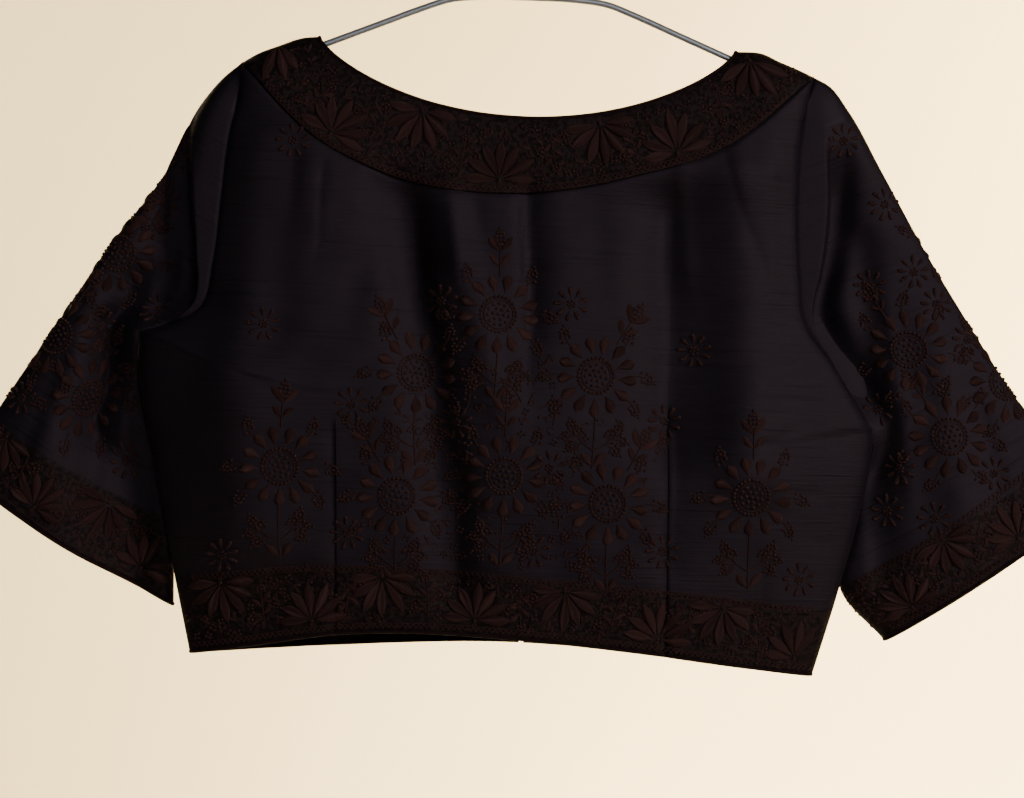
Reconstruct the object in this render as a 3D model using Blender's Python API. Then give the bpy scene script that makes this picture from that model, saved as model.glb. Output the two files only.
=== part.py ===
"""Choli blouse of dark raw silk, hung on a coated wire hanger.

Metres, +Z up. The origin lies inside the top of the hook, where a rail carries it. +X runs to
the right of the shown side, +Y away from the viewer. Places on the cloth are given as `across`,
along +X, and `down`, below the level of the two neck points.
"""
import math

import bpy
import numpy as np

COLLECTION = "choli_blouse"

# Cloth and trim
CLOTH = 0.0012
SEAM_GAP = 0.0004
PIPING_RADIUS = 0.0010
PIPING_GAP = 0.0003

# Hanger
WIRE_RADIUS = 0.00205
HOOK_RADIUS = 0.020
HOOK_STEM = 0.012
HOOK_START_TURN = math.radians(-40)
HOOK_END_TURN = math.radians(205)
HOOK_STEPS = 20
NECK_HEIGHT = 0.030
APEX_DOWN = -0.0295
APEX_LINE = [(0.0, APEX_DOWN), (0.029, APEX_DOWN + 0.0005), (0.050, APEX_DOWN + 0.0030)]
ARM_DOWN = 0.0065
ARM_SLOPE = 0.41
ARM_START = 0.066
ARM_STRAIGHT = 0.030
ARM_END = 0.178
END_BEND_RADIUS = 0.016
FRAME_STEPS = 9
NECK_RADIUS = 0.0032
NECK_LOBE = 0.0009
NECK_TURNS = 2.5
NECK_SHARP_ANGLE = math.radians(50)

# The level of the neck points, worked out from the hook down
HOOK_CENTRE_Z = WIRE_RADIUS - HOOK_RADIUS
STEM_FOOT_Z = HOOK_CENTRE_Z - HOOK_RADIUS - HOOK_STEM
NECK_FOOT_Z = STEM_FOOT_Z - SEAM_GAP - NECK_HEIGHT
NECK_POINT_Z = NECK_FOOT_Z - SEAM_GAP - WIRE_RADIUS + APEX_DOWN

# Neck opening and placket
NECK_HALF = 0.1325
NECK_DROP_FRONT = 0.0455
NECK_DROP_BACK = 0.058
NECK_ROUNDNESS = 0.72
PLACKET_HALF = 0.008
UNDERLAP_STEP = CLOTH + SEAM_GAP
UNDERLAP_CLEAR = 0.001
UNDERLAP_RUN = 0.006
SHOULDER_TURN = 0.168
SHOULDER_TURN_RUN = 0.008

# Outlines, each a short table of (across, down) that a smooth curve runs through
SHOULDER = {
    "left": [(-0.1325, 0.0), (-0.1413, 0.001), (-0.157, 0.0066), (-0.170, 0.012), (-0.180, 0.0182)],
    "right": [(0.1325, 0.0), (0.1485, 0.0007), (0.1595, 0.0054), (0.1714, 0.010), (0.1815, 0.0145)],
}
ARMHOLE = {
    "left": [(-0.180, 0.0182), (-0.1805, 0.040), (-0.1847, 0.0613), (-0.189, 0.105),
             (-0.1925, 0.1438), (-0.1996, 0.1731), (-0.2150, 0.1835), (-0.2382, 0.191)],
    "right": [(0.1815, 0.0145), (0.1780, 0.030), (0.1740, 0.0485), (0.1717, 0.0897),
              (0.1749, 0.1433), (0.1783, 0.1679), (0.1983, 0.1962), (0.2263, 0.2363)],
}
SIDE_SEAM = {
    "left": [(-0.2382, 0.191), (-0.2385, 0.212), (-0.2272, 0.269), (-0.2099, 0.347), (-0.1998, 0.390)],
    "right": [(0.2263, 0.2363), (0.2266, 0.2445), (0.220, 0.290), (0.209, 0.336), (0.1940, 0.3905)],
}
SLEEVE_TOP = {
    "left": [(-0.180, 0.0182), (-0.1916, 0.0281), (-0.2043, 0.0437), (-0.226, 0.0875),
             (-0.263, 0.139), (-0.2855, 0.1755)],
    "right": [(0.1815, 0.0145), (0.1914, 0.0194), (0.2039, 0.0341), (0.2268, 0.0712),
              (0.2569, 0.1208), (0.3058, 0.1949)],
}
SLEEVE_OUTSIDE = {
    "left": [(-0.2855, 0.1755), (-0.312, 0.217), (-0.351, 0.280)],
    "right": [(0.3058, 0.1949), (0.336, 0.2362), (0.366, 0.277)],
}
SLEEVE_UNDER = {
    "left": [(-0.2382, 0.191), (-0.2392, 0.215), (-0.228, 0.269), (-0.2130, 0.336), (-0.212, 0.361)],
    "right": [(0.2263, 0.2363), (0.2262, 0.252), (0.2190, 0.292), (0.2105, 0.336), (0.239, 0.368)],
}
CUFF_BOW = {"left": 0.0045, "right": 0.0015}
BAND_SEAM_FRONT = [(-0.180, 0.0182), (-0.1373, 0.0596), (-0.0871, 0.0840), (-0.008, 0.0935),
                   (0.0658, 0.0815), (0.1351, 0.0555), (0.1815, 0.0145)]
BAND_SEAM_BACK = [(-0.180, 0.0182), (-0.1373, 0.0650), (-0.0871, 0.0930), (0.0, 0.1050),
                  (0.0871, 0.0920), (0.1351, 0.0620), (0.1815, 0.0145)]
HEM_FRONT = [(-0.1998, 0.390), (-0.166, 0.3837), (-0.107, 0.3682), (-0.060, 0.3668), (0.0, 0.3695),
             (0.0745, 0.3740), (0.132, 0.3825), (0.1940, 0.3905)]
HEM_BACK = [(-0.1998, 0.390), (-0.110, 0.3860), (0.0, 0.3820), (0.110, 0.3862), (0.1940, 0.3905)]

# Hang of the body, one row a level: -1 neck edge, 0 neckband seam, 1 underarm, 2 hem.
# front and back are the bulge at the middle, power and roundness the form of the section.
HANG = [
    # level, front, back, power, roundness
    (-1.0, 0.013, 0.012, 6.0, 0.50),
    (0.0, 0.022, 0.018, 6.0, 0.50),
    (0.3, 0.028, 0.021, 3.2, 0.80),
    (0.7, 0.034, 0.024, 2.4, 0.80),
    (1.0, 0.037, 0.025, 2.2, 0.58),
    (1.5, 0.033, 0.023, 2.2, 0.55),
    (2.0, 0.026, 0.020, 2.2, 0.55),
]
# The armhole stands open by this much to each side, between its two closed ends
ARMHOLE_OPEN = 0.0115
ARMHOLE_WIDEST = 0.35

# Large folds: a trough is deep into the hollow, a ridge has a depth below zero
FOLDS_FRONT = [
    # across and down at the top, across and down at the foot, half width, depth
    (-0.058, 0.086, -0.030, 0.350, 0.0150, 0.0110),
    (-0.034, 0.092, -0.012, 0.210, 0.0130, -0.0040),
    (0.004, 0.088, 0.010, 0.190, 0.0080, 0.0030),
    (0.118, 0.080, 0.128, 0.245, 0.0220, 0.0090),
    (0.074, 0.100, 0.085, 0.230, 0.0260, -0.0040),
    (-0.150, 0.070, -0.152, 0.195, 0.0150, 0.0045),
    (-0.178, 0.160, -0.165, 0.350, 0.0200, -0.0035),
]
FOLDS_BACK = [
    (-0.090, 0.090, -0.060, 0.330, 0.0180, -0.0080),
    (-0.045, 0.110, -0.040, 0.260, 0.0150, 0.0040),
    (0.075, 0.090, 0.050, 0.340, 0.0180, -0.0085),
    (0.140, 0.100, 0.135, 0.250, 0.0200, -0.0060),
    (0.115, 0.120, 0.105, 0.300, 0.0180, 0.0040),
]
FOLD_RAMP = 0.030

# Hang of a sleeve, one row a level: 0 armhole top, 1 underarm, 2 cuff.
# middle is how far back it hangs, strip the width of flat cloth beside the armhole seam.
SLEEVE_HANG = [
    # level, middle, half depth, strip
    (0.00, 0.000, 0.0055, 0.022),
    (0.25, 0.004, 0.0070, 0.024),
    (0.55, 0.009, 0.0085, 0.021),
    (0.80, 0.011, 0.0100, 0.011),
    (1.00, 0.011, 0.0115, 0.000),
    (1.50, 0.010, 0.0150, 0.000),
    (2.00, 0.009, 0.0190, 0.000),
]
STRIP_STEP = 0.011
BACK_BLEND = 0.035
UNDER_SETBACK = 0.0085
UNDER_SETBACK_RUN = 0.22
UNDER_ROUNDNESS = 0.62
UNDERARM_CLEAR = 0.0008
# The section starts to close at this level; its outer fold takes up these shares of the width
CLOSING_START = 0.8
OUTER_RUN_OPEN = 0.35
OUTER_RUN_CLOSED = 0.50
SLEEVE_FOLDS = {
    # across and down at the top, across and down at the foot, half width, depth
    "left": [(-0.232, 0.120, -0.272, 0.300, 0.010, 0.0040),
             (-0.262, 0.160, -0.300, 0.285, 0.012, -0.0030)],
    "right": [(0.214, 0.110, 0.238, 0.330, 0.011, 0.0050),
              (0.262, 0.170, 0.286, 0.300, 0.014, -0.0030)],
}

# Mesh spacing
ARMHOLE_STEPS = 8
ARMHOLE_SPACING = 1.3
SIDE_STEPS = 7
BAND_STEPS = 4
FRONT_STEPS = 30
BACK_STEPS = 13
SLEEVE_ROWS_BELOW = 8
SLEEVE_FRONT_STEPS = 12
SLEEVE_BACK_STEPS = 9
EDGE_STEPS = (0.0, 0.006, 0.018)
CROWN_ROW = 1
TUBE_RESOLUTION = 2
NECK_SIDES = 12
NECK_RINGS = 15

SILK = ("silk", (0.020, 0.014, 0.022), 0.55, 0.0)
BORDER_SILK = ("border_silk", (0.040, 0.022, 0.020), 0.60, 0.0)
PIPING_SILK = ("piping_silk", (0.012, 0.009, 0.012), 0.60, 0.0)
COATED_WIRE = ("coated_wire", (0.38, 0.40, 0.43), 0.35, 0.4)


def smooth_curve(points, at):
    """Values at the fractions `at` of a smooth curve through the points, by length."""
    points = np.asarray(points, dtype=float)
    steps = np.linalg.norm(np.diff(points[:, :2], axis=0), axis=1)
    knots = np.concatenate([[0.0], np.cumsum(steps)])
    return hermite(knots / knots[-1], points, at)


def hermite(knots, values, at):
    """Smooth values between the knots, with slopes taken from the neighbours."""
    at = np.asarray(at, dtype=float)
    slopes = np.gradient(values, knots, axis=0)
    cell = np.clip(np.searchsorted(knots, at, side="right") - 1, 0, len(knots) - 2)
    width = knots[cell + 1] - knots[cell]
    part = (at - knots[cell]) / width
    if values.ndim > 1:
        part = part[..., None]
        width = width[..., None]
    start = (2 * part**3 - 3 * part**2 + 1) * values[cell]
    start_slope = (part**3 - 2 * part**2 + part) * width * slopes[cell]
    end = (3 * part**2 - 2 * part**3) * values[cell + 1]
    end_slope = (part**3 - part**2) * width * slopes[cell + 1]
    return start + start_slope + end + end_slope


def table_at(table, level):
    """Columns of a table whose first column is the level."""
    rows = np.asarray(table, dtype=float)
    level = np.asarray(level, dtype=float)
    return [np.interp(level, rows[:, 0], rows[:, column]) for column in range(1, rows.shape[1])]


def smooth_step(value):
    value = np.clip(value, 0.0, 1.0)
    return value * value * (3.0 - 2.0 * value)


def down_along(outline):
    """The outline as a function from across to down."""
    table = np.asarray(outline, dtype=float)

    def down(across):
        return hermite(table[:, 0], table[:, 1], np.clip(across, table[0, 0], table[-1, 0]))

    return down


def neckline(drop):
    def down(across):
        share = np.clip(np.abs(across) / NECK_HALF, 0.0, 1.0)
        return drop * (1.0 - share**2) ** NECK_ROUNDNESS

    return down


def armhole_levels():
    return (np.arange(ARMHOLE_STEPS + 1) / ARMHOLE_STEPS) ** ARMHOLE_SPACING


def body_levels():
    below = 1.0 + np.arange(1, SIDE_STEPS + 1) / SIDE_STEPS
    return np.concatenate([armhole_levels(), below])


def armhole_edge(side, level):
    """Across and down along the armhole for levels up to 1, then along the side seam."""
    level = np.asarray(level, dtype=float)
    upper = smooth_curve(ARMHOLE[side], np.clip(level, 0.0, 1.0))
    lower = smooth_curve(SIDE_SEAM[side], np.clip(level - 1.0, 0.0, 1.0))
    return np.where(level[..., None] <= 1.0, upper, lower)


def armhole_depth(level):
    """Half of the armhole's opening, closed at its top and at the underarm."""
    level = np.asarray(level, dtype=float)
    rise = 1.0 - (1.0 - np.clip(level / ARMHOLE_WIDEST, 0.0, 1.0)) ** 2
    fall = 1.0 - np.clip((level - ARMHOLE_WIDEST) / (1.0 - ARMHOLE_WIDEST), 0.0, 1.0) ** 4
    return ARMHOLE_OPEN * np.sqrt(rise) * np.sqrt(fall)


def fold_depth(folds, across, down):
    """How far the folds push the cloth into the hollow."""
    total = np.zeros_like(across)
    for top_across, top_down, foot_across, foot_down, half_width, depth in folds:
        part = (down - top_down) / (foot_down - top_down)
        centre = top_across + (foot_across - top_across) * part
        shape = np.exp(-(((across - centre) / half_width) ** 2))
        start = smooth_step((down - top_down) / FOLD_RAMP + 0.5)
        end = 1.0 - smooth_step((down - foot_down) / FOLD_RAMP + 0.5)
        total += depth * shape * start * end
    return total


def body_depth(face, across, down, level, left_end, right_end):
    """Distance of the body's outer surface from the hanging plane."""
    front, back, power, roundness = table_at(HANG, level)
    bulge = front if face == "front" else back
    folds = FOLDS_FRONT if face == "front" else FOLDS_BACK
    share = np.abs(2.0 * across - left_end - right_end) / (right_end - left_end)
    share = np.clip(share, 0.0, 1.0)
    edge = armhole_depth(level)
    depth = edge + (bulge - edge) * (1.0 - share**power) ** roundness
    depth -= fold_depth(folds, across, down) * (1.0 - share**6)
    return SEAM_GAP / 2 + depth


def world(across, depth, down):
    return np.stack([across, depth, NECK_POINT_Z - down], axis=-1)


def sheet(top, bottom, left, right, parts, shares):
    """Across and down of a panel: a row a part, from its left boundary to its right one."""
    part = parts[:, None]
    span = right[:, :1] - left[:, :1]
    across = left[:, :1] + shares * span
    ends = {}
    for name, curve, row in (("top", top, 0), ("bottom", bottom, -1)):
        start = left[row, 0]
        stop = right[row, 0]
        ends[name] = (curve(start + shares * (stop - start)), curve(start), curve(stop))
    inner = (1 - part) * ends["top"][0] + part * ends["bottom"][0]
    left_lift = left[:, 1:] - ((1 - part) * ends["top"][1] + part * ends["bottom"][1])
    right_lift = right[:, 1:] - ((1 - part) * ends["top"][2] + part * ends["bottom"][2])
    down = inner + (1 - shares) * left_lift + shares * right_lift
    return across, down


def row_parts(left, right):
    """How far down each row lies, from the lengths of both boundaries."""
    parts = []
    for boundary in (left, right):
        steps = np.linalg.norm(np.diff(boundary, axis=0), axis=1)
        length = np.concatenate([[0.0], np.cumsum(steps)])
        parts.append(length / length[-1])
    return (parts[0] + parts[1]) / 2


def edge_spaced(count, at_start=True, at_end=True):
    """Shares from 0 to 1, closer together at the ends that turn round."""
    start = list(EDGE_STEPS) if at_start else [0.0]
    end = [1.0 - step for step in reversed(EDGE_STEPS)] if at_end else [1.0]
    middle = np.linspace(start[-1], end[0], count + 1)[1:-1]
    return np.concatenate([start, middle, end])


def grid_normals(points, closed_from=None):
    """Unit normals of a grid, right handed over its columns and rows."""
    along = np.gradient(points, axis=1)
    if closed_from is not None:
        wrap = points[closed_from:, 1] - points[closed_from:, -2]
        along[closed_from:, 0] = wrap
        along[closed_from:, -1] = wrap
    normals = np.cross(along, np.gradient(points, axis=0))
    return normals / np.linalg.norm(normals, axis=2, keepdims=True)


def flatten_across(normals):
    """Turns a seam's end faces so that they lie in the hanging plane."""
    flat = normals.copy()
    flat[..., 1] = 0.0
    return flat / np.linalg.norm(flat, axis=-1, keepdims=True)


def wall_mesh(name, outer, inner, flip, closed_from=None):
    """A cloth wall between two grids, joined into a tube from the row `closed_from` down."""
    rows, columns = outer.shape[:2]
    closed_from = rows if closed_from is None else closed_from
    vertices = []
    index = {}
    for layer, grid in enumerate((outer, inner)):
        for row in range(rows):
            last = columns - 1 if row >= closed_from else columns
            for column in range(last):
                index[layer, row, column] = len(vertices)
                vertices.append(tuple(grid[row, column]))
            if row >= closed_from:
                index[layer, row, columns - 1] = index[layer, row, 0]
    faces = []

    def quad(a, b, c, d):
        corners = (a, b, c, d)
        faces.append(corners[::-1] if flip else corners)

    for row in range(rows - 1):
        for column in range(columns - 1):
            cell = [(row, column), (row, column + 1), (row + 1, column + 1), (row + 1, column)]
            quad(*[index[0, r, c] for r, c in cell])
            quad(*[index[1, r, c] for r, c in reversed(cell)])
    for column in range(columns - 1):
        for row, first, second in ((0, column + 1, column), (rows - 1, column, column + 1)):
            quad(index[0, row, first], index[0, row, second],
                 index[1, row, second], index[1, row, first])
    for row in range(min(rows - 1, closed_from)):
        for column, first, second in ((0, row, row + 1), (columns - 1, row + 1, row)):
            quad(index[0, first, column], index[0, second, column],
                 index[1, second, column], index[1, first, column])
    mesh = bpy.data.meshes.new(name)
    mesh.from_pydata(vertices, [], faces)
    mesh.validate()
    return mesh


def material(name, colour, roughness, metallic):
    if name in bpy.data.materials:
        return bpy.data.materials[name]
    made = bpy.data.materials.new(name)
    made.use_nodes = True
    shader = made.node_tree.nodes["Principled BSDF"]
    shader.inputs["Base Color"].default_value = (*colour, 1.0)
    shader.inputs["Roughness"].default_value = roughness
    shader.inputs["Metallic"].default_value = metallic
    return made


def place(name, data, finish, collection):
    data.materials.append(material(*finish))
    collection.objects.link(bpy.data.objects.new(name, data))


def cloth_object(name, points, normals, finish, collection, flip, closed_from=None):
    inner = points - CLOTH * normals
    mesh = wall_mesh(name, points, inner, flip, closed_from)
    mesh.shade_smooth()
    place(name, mesh, finish, collection)


def facing(face, normals):
    """Normals that point away from the hollow."""
    sign = -1.0 if face == "front" else 1.0
    middle = normals[normals.shape[0] // 2, normals.shape[1] // 2, 1]
    return normals if middle * sign > 0 else -normals


def armhole_outward(side, level):
    """Unit step from the armhole seam into the sleeve, as across and down."""
    ahead = armhole_edge(side, np.clip(level + 0.01, 0.0, 1.0))
    behind = armhole_edge(side, np.clip(level - 0.01, 0.0, 1.0))
    run = ahead - behind
    run /= np.linalg.norm(run, axis=-1, keepdims=True)
    sign = 1.0 if side == "left" else -1.0
    return sign * np.stack([-run[..., 1], run[..., 0]], axis=-1)


def square_to_seam(normals, side, level):
    """Turns the armhole's end faces so that they lie square to the seam."""
    step = armhole_outward(side, level)
    outward = np.stack([step[..., 0], np.zeros_like(level), -step[..., 1]], axis=-1)
    squared = normals - np.sum(normals * outward, axis=-1, keepdims=True) * outward
    return squared / np.linalg.norm(squared, axis=-1, keepdims=True)


def body_piece(face, kind, shares, left, right, levels, underlap=False):
    """Outer points and normals of one panel or band of the body."""
    outlines = {
        ("front", "panel"): (down_along(BAND_SEAM_FRONT), down_along(HEM_FRONT)),
        ("back", "panel"): (down_along(BAND_SEAM_BACK), down_along(HEM_BACK)),
        ("front", "band"): (neckline(NECK_DROP_FRONT), down_along(BAND_SEAM_FRONT)),
        ("back", "band"): (neckline(NECK_DROP_BACK), down_along(BAND_SEAM_BACK)),
    }
    top, bottom = outlines[face, kind]
    parts = row_parts(left["line"], right["line"])
    across, down = sheet(top, bottom, left["line"], right["line"], parts, shares)
    depth = body_depth(face, across, down, levels[:, None], left["full"], right["full"])
    if underlap:
        beyond = across - PLACKET_HALF - UNDERLAP_CLEAR
        depth -= UNDERLAP_STEP * (1.0 - smooth_step(beyond / UNDERLAP_RUN))
    points = world(across, -depth if face == "front" else depth, down)
    normals = facing(face, grid_normals(points))
    for column, end in ((0, left), (-1, right)):
        if end["seam"] is not None:
            rows = np.arange(len(levels)) >= end["seam"]
            rows[0] = True
            normals[rows, column] = flatten_across(normals[rows, column])
            on_armhole = (levels >= 0.0) & (levels < 1.0)
            squared = square_to_seam(normals[on_armhole, column], end["side"], levels[on_armhole])
            normals[on_armhole, column] = squared
    return points, normals


def side_line(side, levels):
    line = armhole_edge(side, levels)
    # The flattened end faces start at the underarm; the armhole top lies on the shoulder ridge
    return {"line": line, "full": line[:, :1], "seam": ARMHOLE_STEPS, "side": side}


def shoulder_line(side, parts):
    line = smooth_curve(SHOULDER[side], parts)
    return {"line": line, "full": line[:, :1], "seam": 0, "side": side}


def placket_line(across, top, bottom, parts):
    down = top + (bottom - top) * parts
    return {"line": np.stack([np.full_like(down, across), down], axis=-1), "full": None, "seam": None}


def underlap_shares(left, right):
    """Even columns over the strip under the overlap, then spaced out to the side."""
    foot = 2 * PLACKET_HALF + 1.5 * UNDERLAP_CLEAR
    strip = np.array([0.0, PLACKET_HALF, foot, foot + UNDERLAP_RUN])
    span = right[:, :1] - left[:, :1]
    spaced = edge_spaced(BACK_STEPS - 2, at_start=False)
    rest = strip[-1] + spaced[None, 1:] * (span - strip[-1])
    return np.concatenate([np.broadcast_to(strip, (len(span), len(strip))), rest], axis=1) / span


def share_seam(band, panel):
    """Parts the neckband from the panel by the seam gap, with the same end faces on both."""
    mixed = band[1][-1] + panel[1][0]
    mixed /= np.linalg.norm(mixed, axis=1, keepdims=True)
    along = np.gradient(panel[0][0], axis=0)
    apart = np.cross(mixed, along)
    apart /= np.linalg.norm(apart, axis=1, keepdims=True)
    toward_band = np.sum(apart * (band[0][-2] - band[0][-1]), axis=1, keepdims=True)
    turned = smooth_step((np.abs(panel[0][0][:, :1]) - SHOULDER_TURN) / SHOULDER_TURN_RUN)
    apart *= np.sign(toward_band) * SEAM_GAP / 2 * (1.0 + turned)
    for piece, row, step in ((band, -1, apart), (panel, 0, -apart)):
        piece[0][row] += step
        piece[1][row] = mixed


def build_front(collection):
    levels = body_levels()
    shares = edge_spaced(FRONT_STEPS)[None, :]
    left = side_line("left", levels)
    right = side_line("right", levels)
    panel = body_piece("front", "panel", shares, left, right, levels)
    parts = np.linspace(0.0, 1.0, BAND_STEPS + 1)
    left = shoulder_line("left", parts)
    right = shoulder_line("right", parts)
    band = body_piece("front", "band", shares, left, right, parts - 1.0)
    share_seam(band, panel)
    cloth_object("front_panel", *panel, SILK, collection, flip=True)
    cloth_object("neckband_front", *band, BORDER_SILK, collection, flip=True)
    return panel, band


def back_half(kind, side, levels, top, bottom, ends):
    """The panel or band of the back at one side of the opening."""
    outside = ends[side]
    other = ends["right" if side == "left" else "left"]
    parts = row_parts(outside["line"], other["line"])
    across = PLACKET_HALF if side == "left" else -PLACKET_HALF
    placket = placket_line(across, top(across), bottom(across), parts)
    left, right = (outside, placket) if side == "left" else (placket, outside)
    left = dict(left, full=ends["left"]["full"])
    right = dict(right, full=ends["right"]["full"])
    if side == "left":
        shares = edge_spaced(BACK_STEPS, at_end=False)[None, :]
    else:
        shares = underlap_shares(left["line"], right["line"])
    return body_piece("back", kind, shares, left, right, levels, underlap=side == "right")


def build_back(collection):
    levels = body_levels()
    parts = np.linspace(0.0, 1.0, BAND_STEPS + 1)
    seam = down_along(BAND_SEAM_BACK)
    panel_ends = {side: side_line(side, levels) for side in ("left", "right")}
    band_ends = {side: shoulder_line(side, parts) for side in ("left", "right")}
    made = {}
    for side in ("left", "right"):
        panel = back_half("panel", side, levels, seam, down_along(HEM_BACK), panel_ends)
        band = back_half("band", side, parts - 1.0, neckline(NECK_DROP_BACK), seam, band_ends)
        share_seam(band, panel)
        cloth_object(f"back_panel_{side}", *panel, SILK, collection, flip=False)
        cloth_object(f"neckband_back_{side}", *band, BORDER_SILK, collection, flip=False)
        made["panel", side] = panel
        made["band", side] = band
    return made


def sleeve_rows(side):
    """Levels below the crown, with the inner and outer boundary of each row."""
    below = 1.0 + np.arange(1, SLEEVE_ROWS_BELOW + 1) / SLEEVE_ROWS_BELOW
    levels = np.concatenate([armhole_levels()[CROWN_ROW + 1:], below])
    upper = (levels <= 1.0)[:, None]
    clipped = np.clip(levels, 0.0, 1.0)
    beyond = np.clip(levels - 1.0, 0.0, 1.0)
    inner = np.where(upper, armhole_edge(side, clipped), smooth_curve(SLEEVE_UNDER[side], beyond))
    shoulder_to_fold = smooth_curve(SLEEVE_TOP[side], clipped)
    outer = np.where(upper, shoulder_to_fold, smooth_curve(SLEEVE_OUTSIDE[side], beyond))
    return levels, inner, outer


def sleeve_section(levels, share):
    """Half depth of the section as a share of its largest, and how far it has closed below."""
    closing = np.clip((levels - CLOSING_START) / (1.0 - CLOSING_START), 0.0, 1.0)
    inner_run = np.maximum(0.5 * closing, 1e-6)
    outer_run = OUTER_RUN_OPEN + (OUTER_RUN_CLOSED - OUTER_RUN_OPEN) * closing
    inner_round = 1.0 - (1.0 - np.clip(share / inner_run, 0.0, 1.0)) ** 2
    inner_round = np.where(closing > 0.0, inner_round, 1.0)
    outer_round = 1.0 - np.clip((share - 1.0 + outer_run) / outer_run, 0.0, 1.0) ** 2
    return inner_round**UNDER_ROUNDNESS * outer_round**0.5


def sleeve_layer(side, face, levels, inner, outer, share):
    """Across, depth and down of one layer of a sleeve, from its inner edge to its outer fold."""
    middle, half, strip = [column[:, None] for column in table_at(SLEEVE_HANG, levels)]
    width = np.linalg.norm(outer - inner, axis=1)[:, None]
    rows = levels[:, None]
    share = share[None, :]
    below = np.clip(rows - 1.0, 0.0, 1.0)
    across = inner[:, :1] + share * (outer[:, :1] - inner[:, :1])
    down = inner[:, 1:] + share * (outer[:, 1:] - inner[:, 1:])
    down = down + CUFF_BOW[side] * np.sin(math.pi * share) * below

    shape = sleeve_section(rows, share)
    setback = UNDER_SETBACK * smooth_step(below / UNDER_SETBACK_RUN)
    lean = np.where(rows >= 1.0, setback + (middle - setback) * smooth_step(share * 2.0), middle)
    distance = share * width
    if face == "front":
        hang = lean - half * shape + fold_depth(SLEEVE_FOLDS[side], across, down) * shape
        keep = 1.0 - smooth_step((distance - strip) / STRIP_STEP)
        toward = -1.0
    else:
        hang = lean + half * shape
        keep = 1.0 - smooth_step(distance / BACK_BLEND)
        toward = 1.0
    keep = np.where(rows < 1.0, keep * (1.0 - share**4), 0.0)
    seam_depth = toward * (armhole_depth(rows) + SEAM_GAP / 2)
    return across, keep * seam_depth + (1.0 - keep) * hang, down


def sleeve_crown(side, face, share):
    """The first row, along the armhole seam from its crown level up to the shoulder ridge."""
    level = armhole_levels()[CROWN_ROW] * (1.0 - share)
    seam = armhole_edge(side, level) + SEAM_GAP * armhole_outward(side, level)
    toward = -1.0 if face == "front" else 1.0
    return seam[:, 0], toward * armhole_depth(level), seam[:, 1]


def build_sleeve(side, collection, front_normals, back_normals):
    """A sleeve: open over the armhole, closed into a tube from the underarm down."""
    levels, inner, outer = sleeve_rows(side)
    seam_rows = levels < 1.0
    inner[seam_rows] += SEAM_GAP * armhole_outward(side, levels[seam_rows])
    outward = -1.0 if side == "left" else 1.0
    inner[len(levels[seam_rows]), 0] += outward * UNDERARM_CLEAR
    spacing = {
        "front": (1.0 - np.cos(math.pi * np.arange(SLEEVE_FRONT_STEPS + 1) / SLEEVE_FRONT_STEPS)) / 2,
        "back": (1.0 - np.cos(math.pi * np.arange(SLEEVE_BACK_STEPS + 1) / SLEEVE_BACK_STEPS)) / 2,
    }
    layers = []
    for face, share in spacing.items():
        crown = sleeve_crown(side, face, share)
        rows = sleeve_layer(side, face, levels, inner, outer, share)
        grid = world(*[np.vstack([first, rest]) for first, rest in zip(crown, rows)])
        layers.append(grid if face == "front" else grid[:, -2::-1])
    points = np.hstack(layers)
    closed_from = 1 + int(np.count_nonzero(seam_rows))
    points[closed_from:, -1] = points[closed_from:, 0]
    normals = grid_normals(points, closed_from)
    if side == "right":
        normals = -normals

    # Both sides of the armhole seam share the panels' normals, so their ends lie face to face
    edge = 0 if side == "left" else -1
    for column, panel in ((0, front_normals[:, edge]), (-1, back_normals[:, edge])):
        normals[:closed_from, column] = panel[CROWN_ROW:CROWN_ROW + closed_from]
    crown_normals = []
    for face, panel in (("front", front_normals[:, edge]), ("back", back_normals[:, edge])):
        share = spacing[face][:, None]
        mixed = panel[CROWN_ROW] * (1.0 - share) + panel[0] * share
        crown_normals.append(mixed if face == "front" else mixed[-2::-1])
    normals[0] = np.vstack(crown_normals)
    normals /= np.linalg.norm(normals, axis=2, keepdims=True)
    flip = side == "right"
    cloth_object(f"sleeve_{side}", points, normals, SILK, collection, flip, closed_from)
    return points, normals


def tube(name, centres, radius, closed, finish, collection):
    curve = bpy.data.curves.new(name, "CURVE")
    curve.dimensions = "3D"
    curve.bevel_depth = radius
    curve.bevel_resolution = TUBE_RESOLUTION
    curve.use_fill_caps = True
    spline = curve.splines.new("POLY")
    spline.points.add(len(centres) - 1)
    for point, centre in zip(spline.points, centres):
        point.co = (*centre, 1.0)
    spline.use_cyclic_u = closed
    place(name, curve, finish, collection)


def edge_centres(piece, row, neighbour):
    """Centre line of a piping that lies just past the row's edge."""
    points, normals = piece
    middle = points[row] - CLOTH / 2 * normals[row]
    along = np.gradient(points[row], axis=0)
    along /= np.linalg.norm(along, axis=1, keepdims=True)
    away = points[row] - points[neighbour]
    away -= np.sum(away * along, axis=1, keepdims=True) * along
    away /= np.linalg.norm(away, axis=1, keepdims=True)
    return middle + away * (PIPING_GAP + PIPING_RADIUS)


def ring_round_body(front, back_left, back_right, row, neighbour):
    """Round the body from the flap of the opening to where the flap ends on the other side."""
    first = edge_centres(back_left, row, neighbour)[::-1]
    middle = edge_centres(front, row, neighbour)
    last = edge_centres(back_right, row, neighbour)[::-1]
    last = last[last[:, 0] > PLACKET_HALF + UNDERLAP_CLEAR]
    left_corner = (first[-1:] + middle[:1]) / 2
    right_corner = (middle[-1:] + last[:1]) / 2
    return np.vstack([first[:-1], left_corner, middle[1:-1], right_corner, last[1:]])


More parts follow.
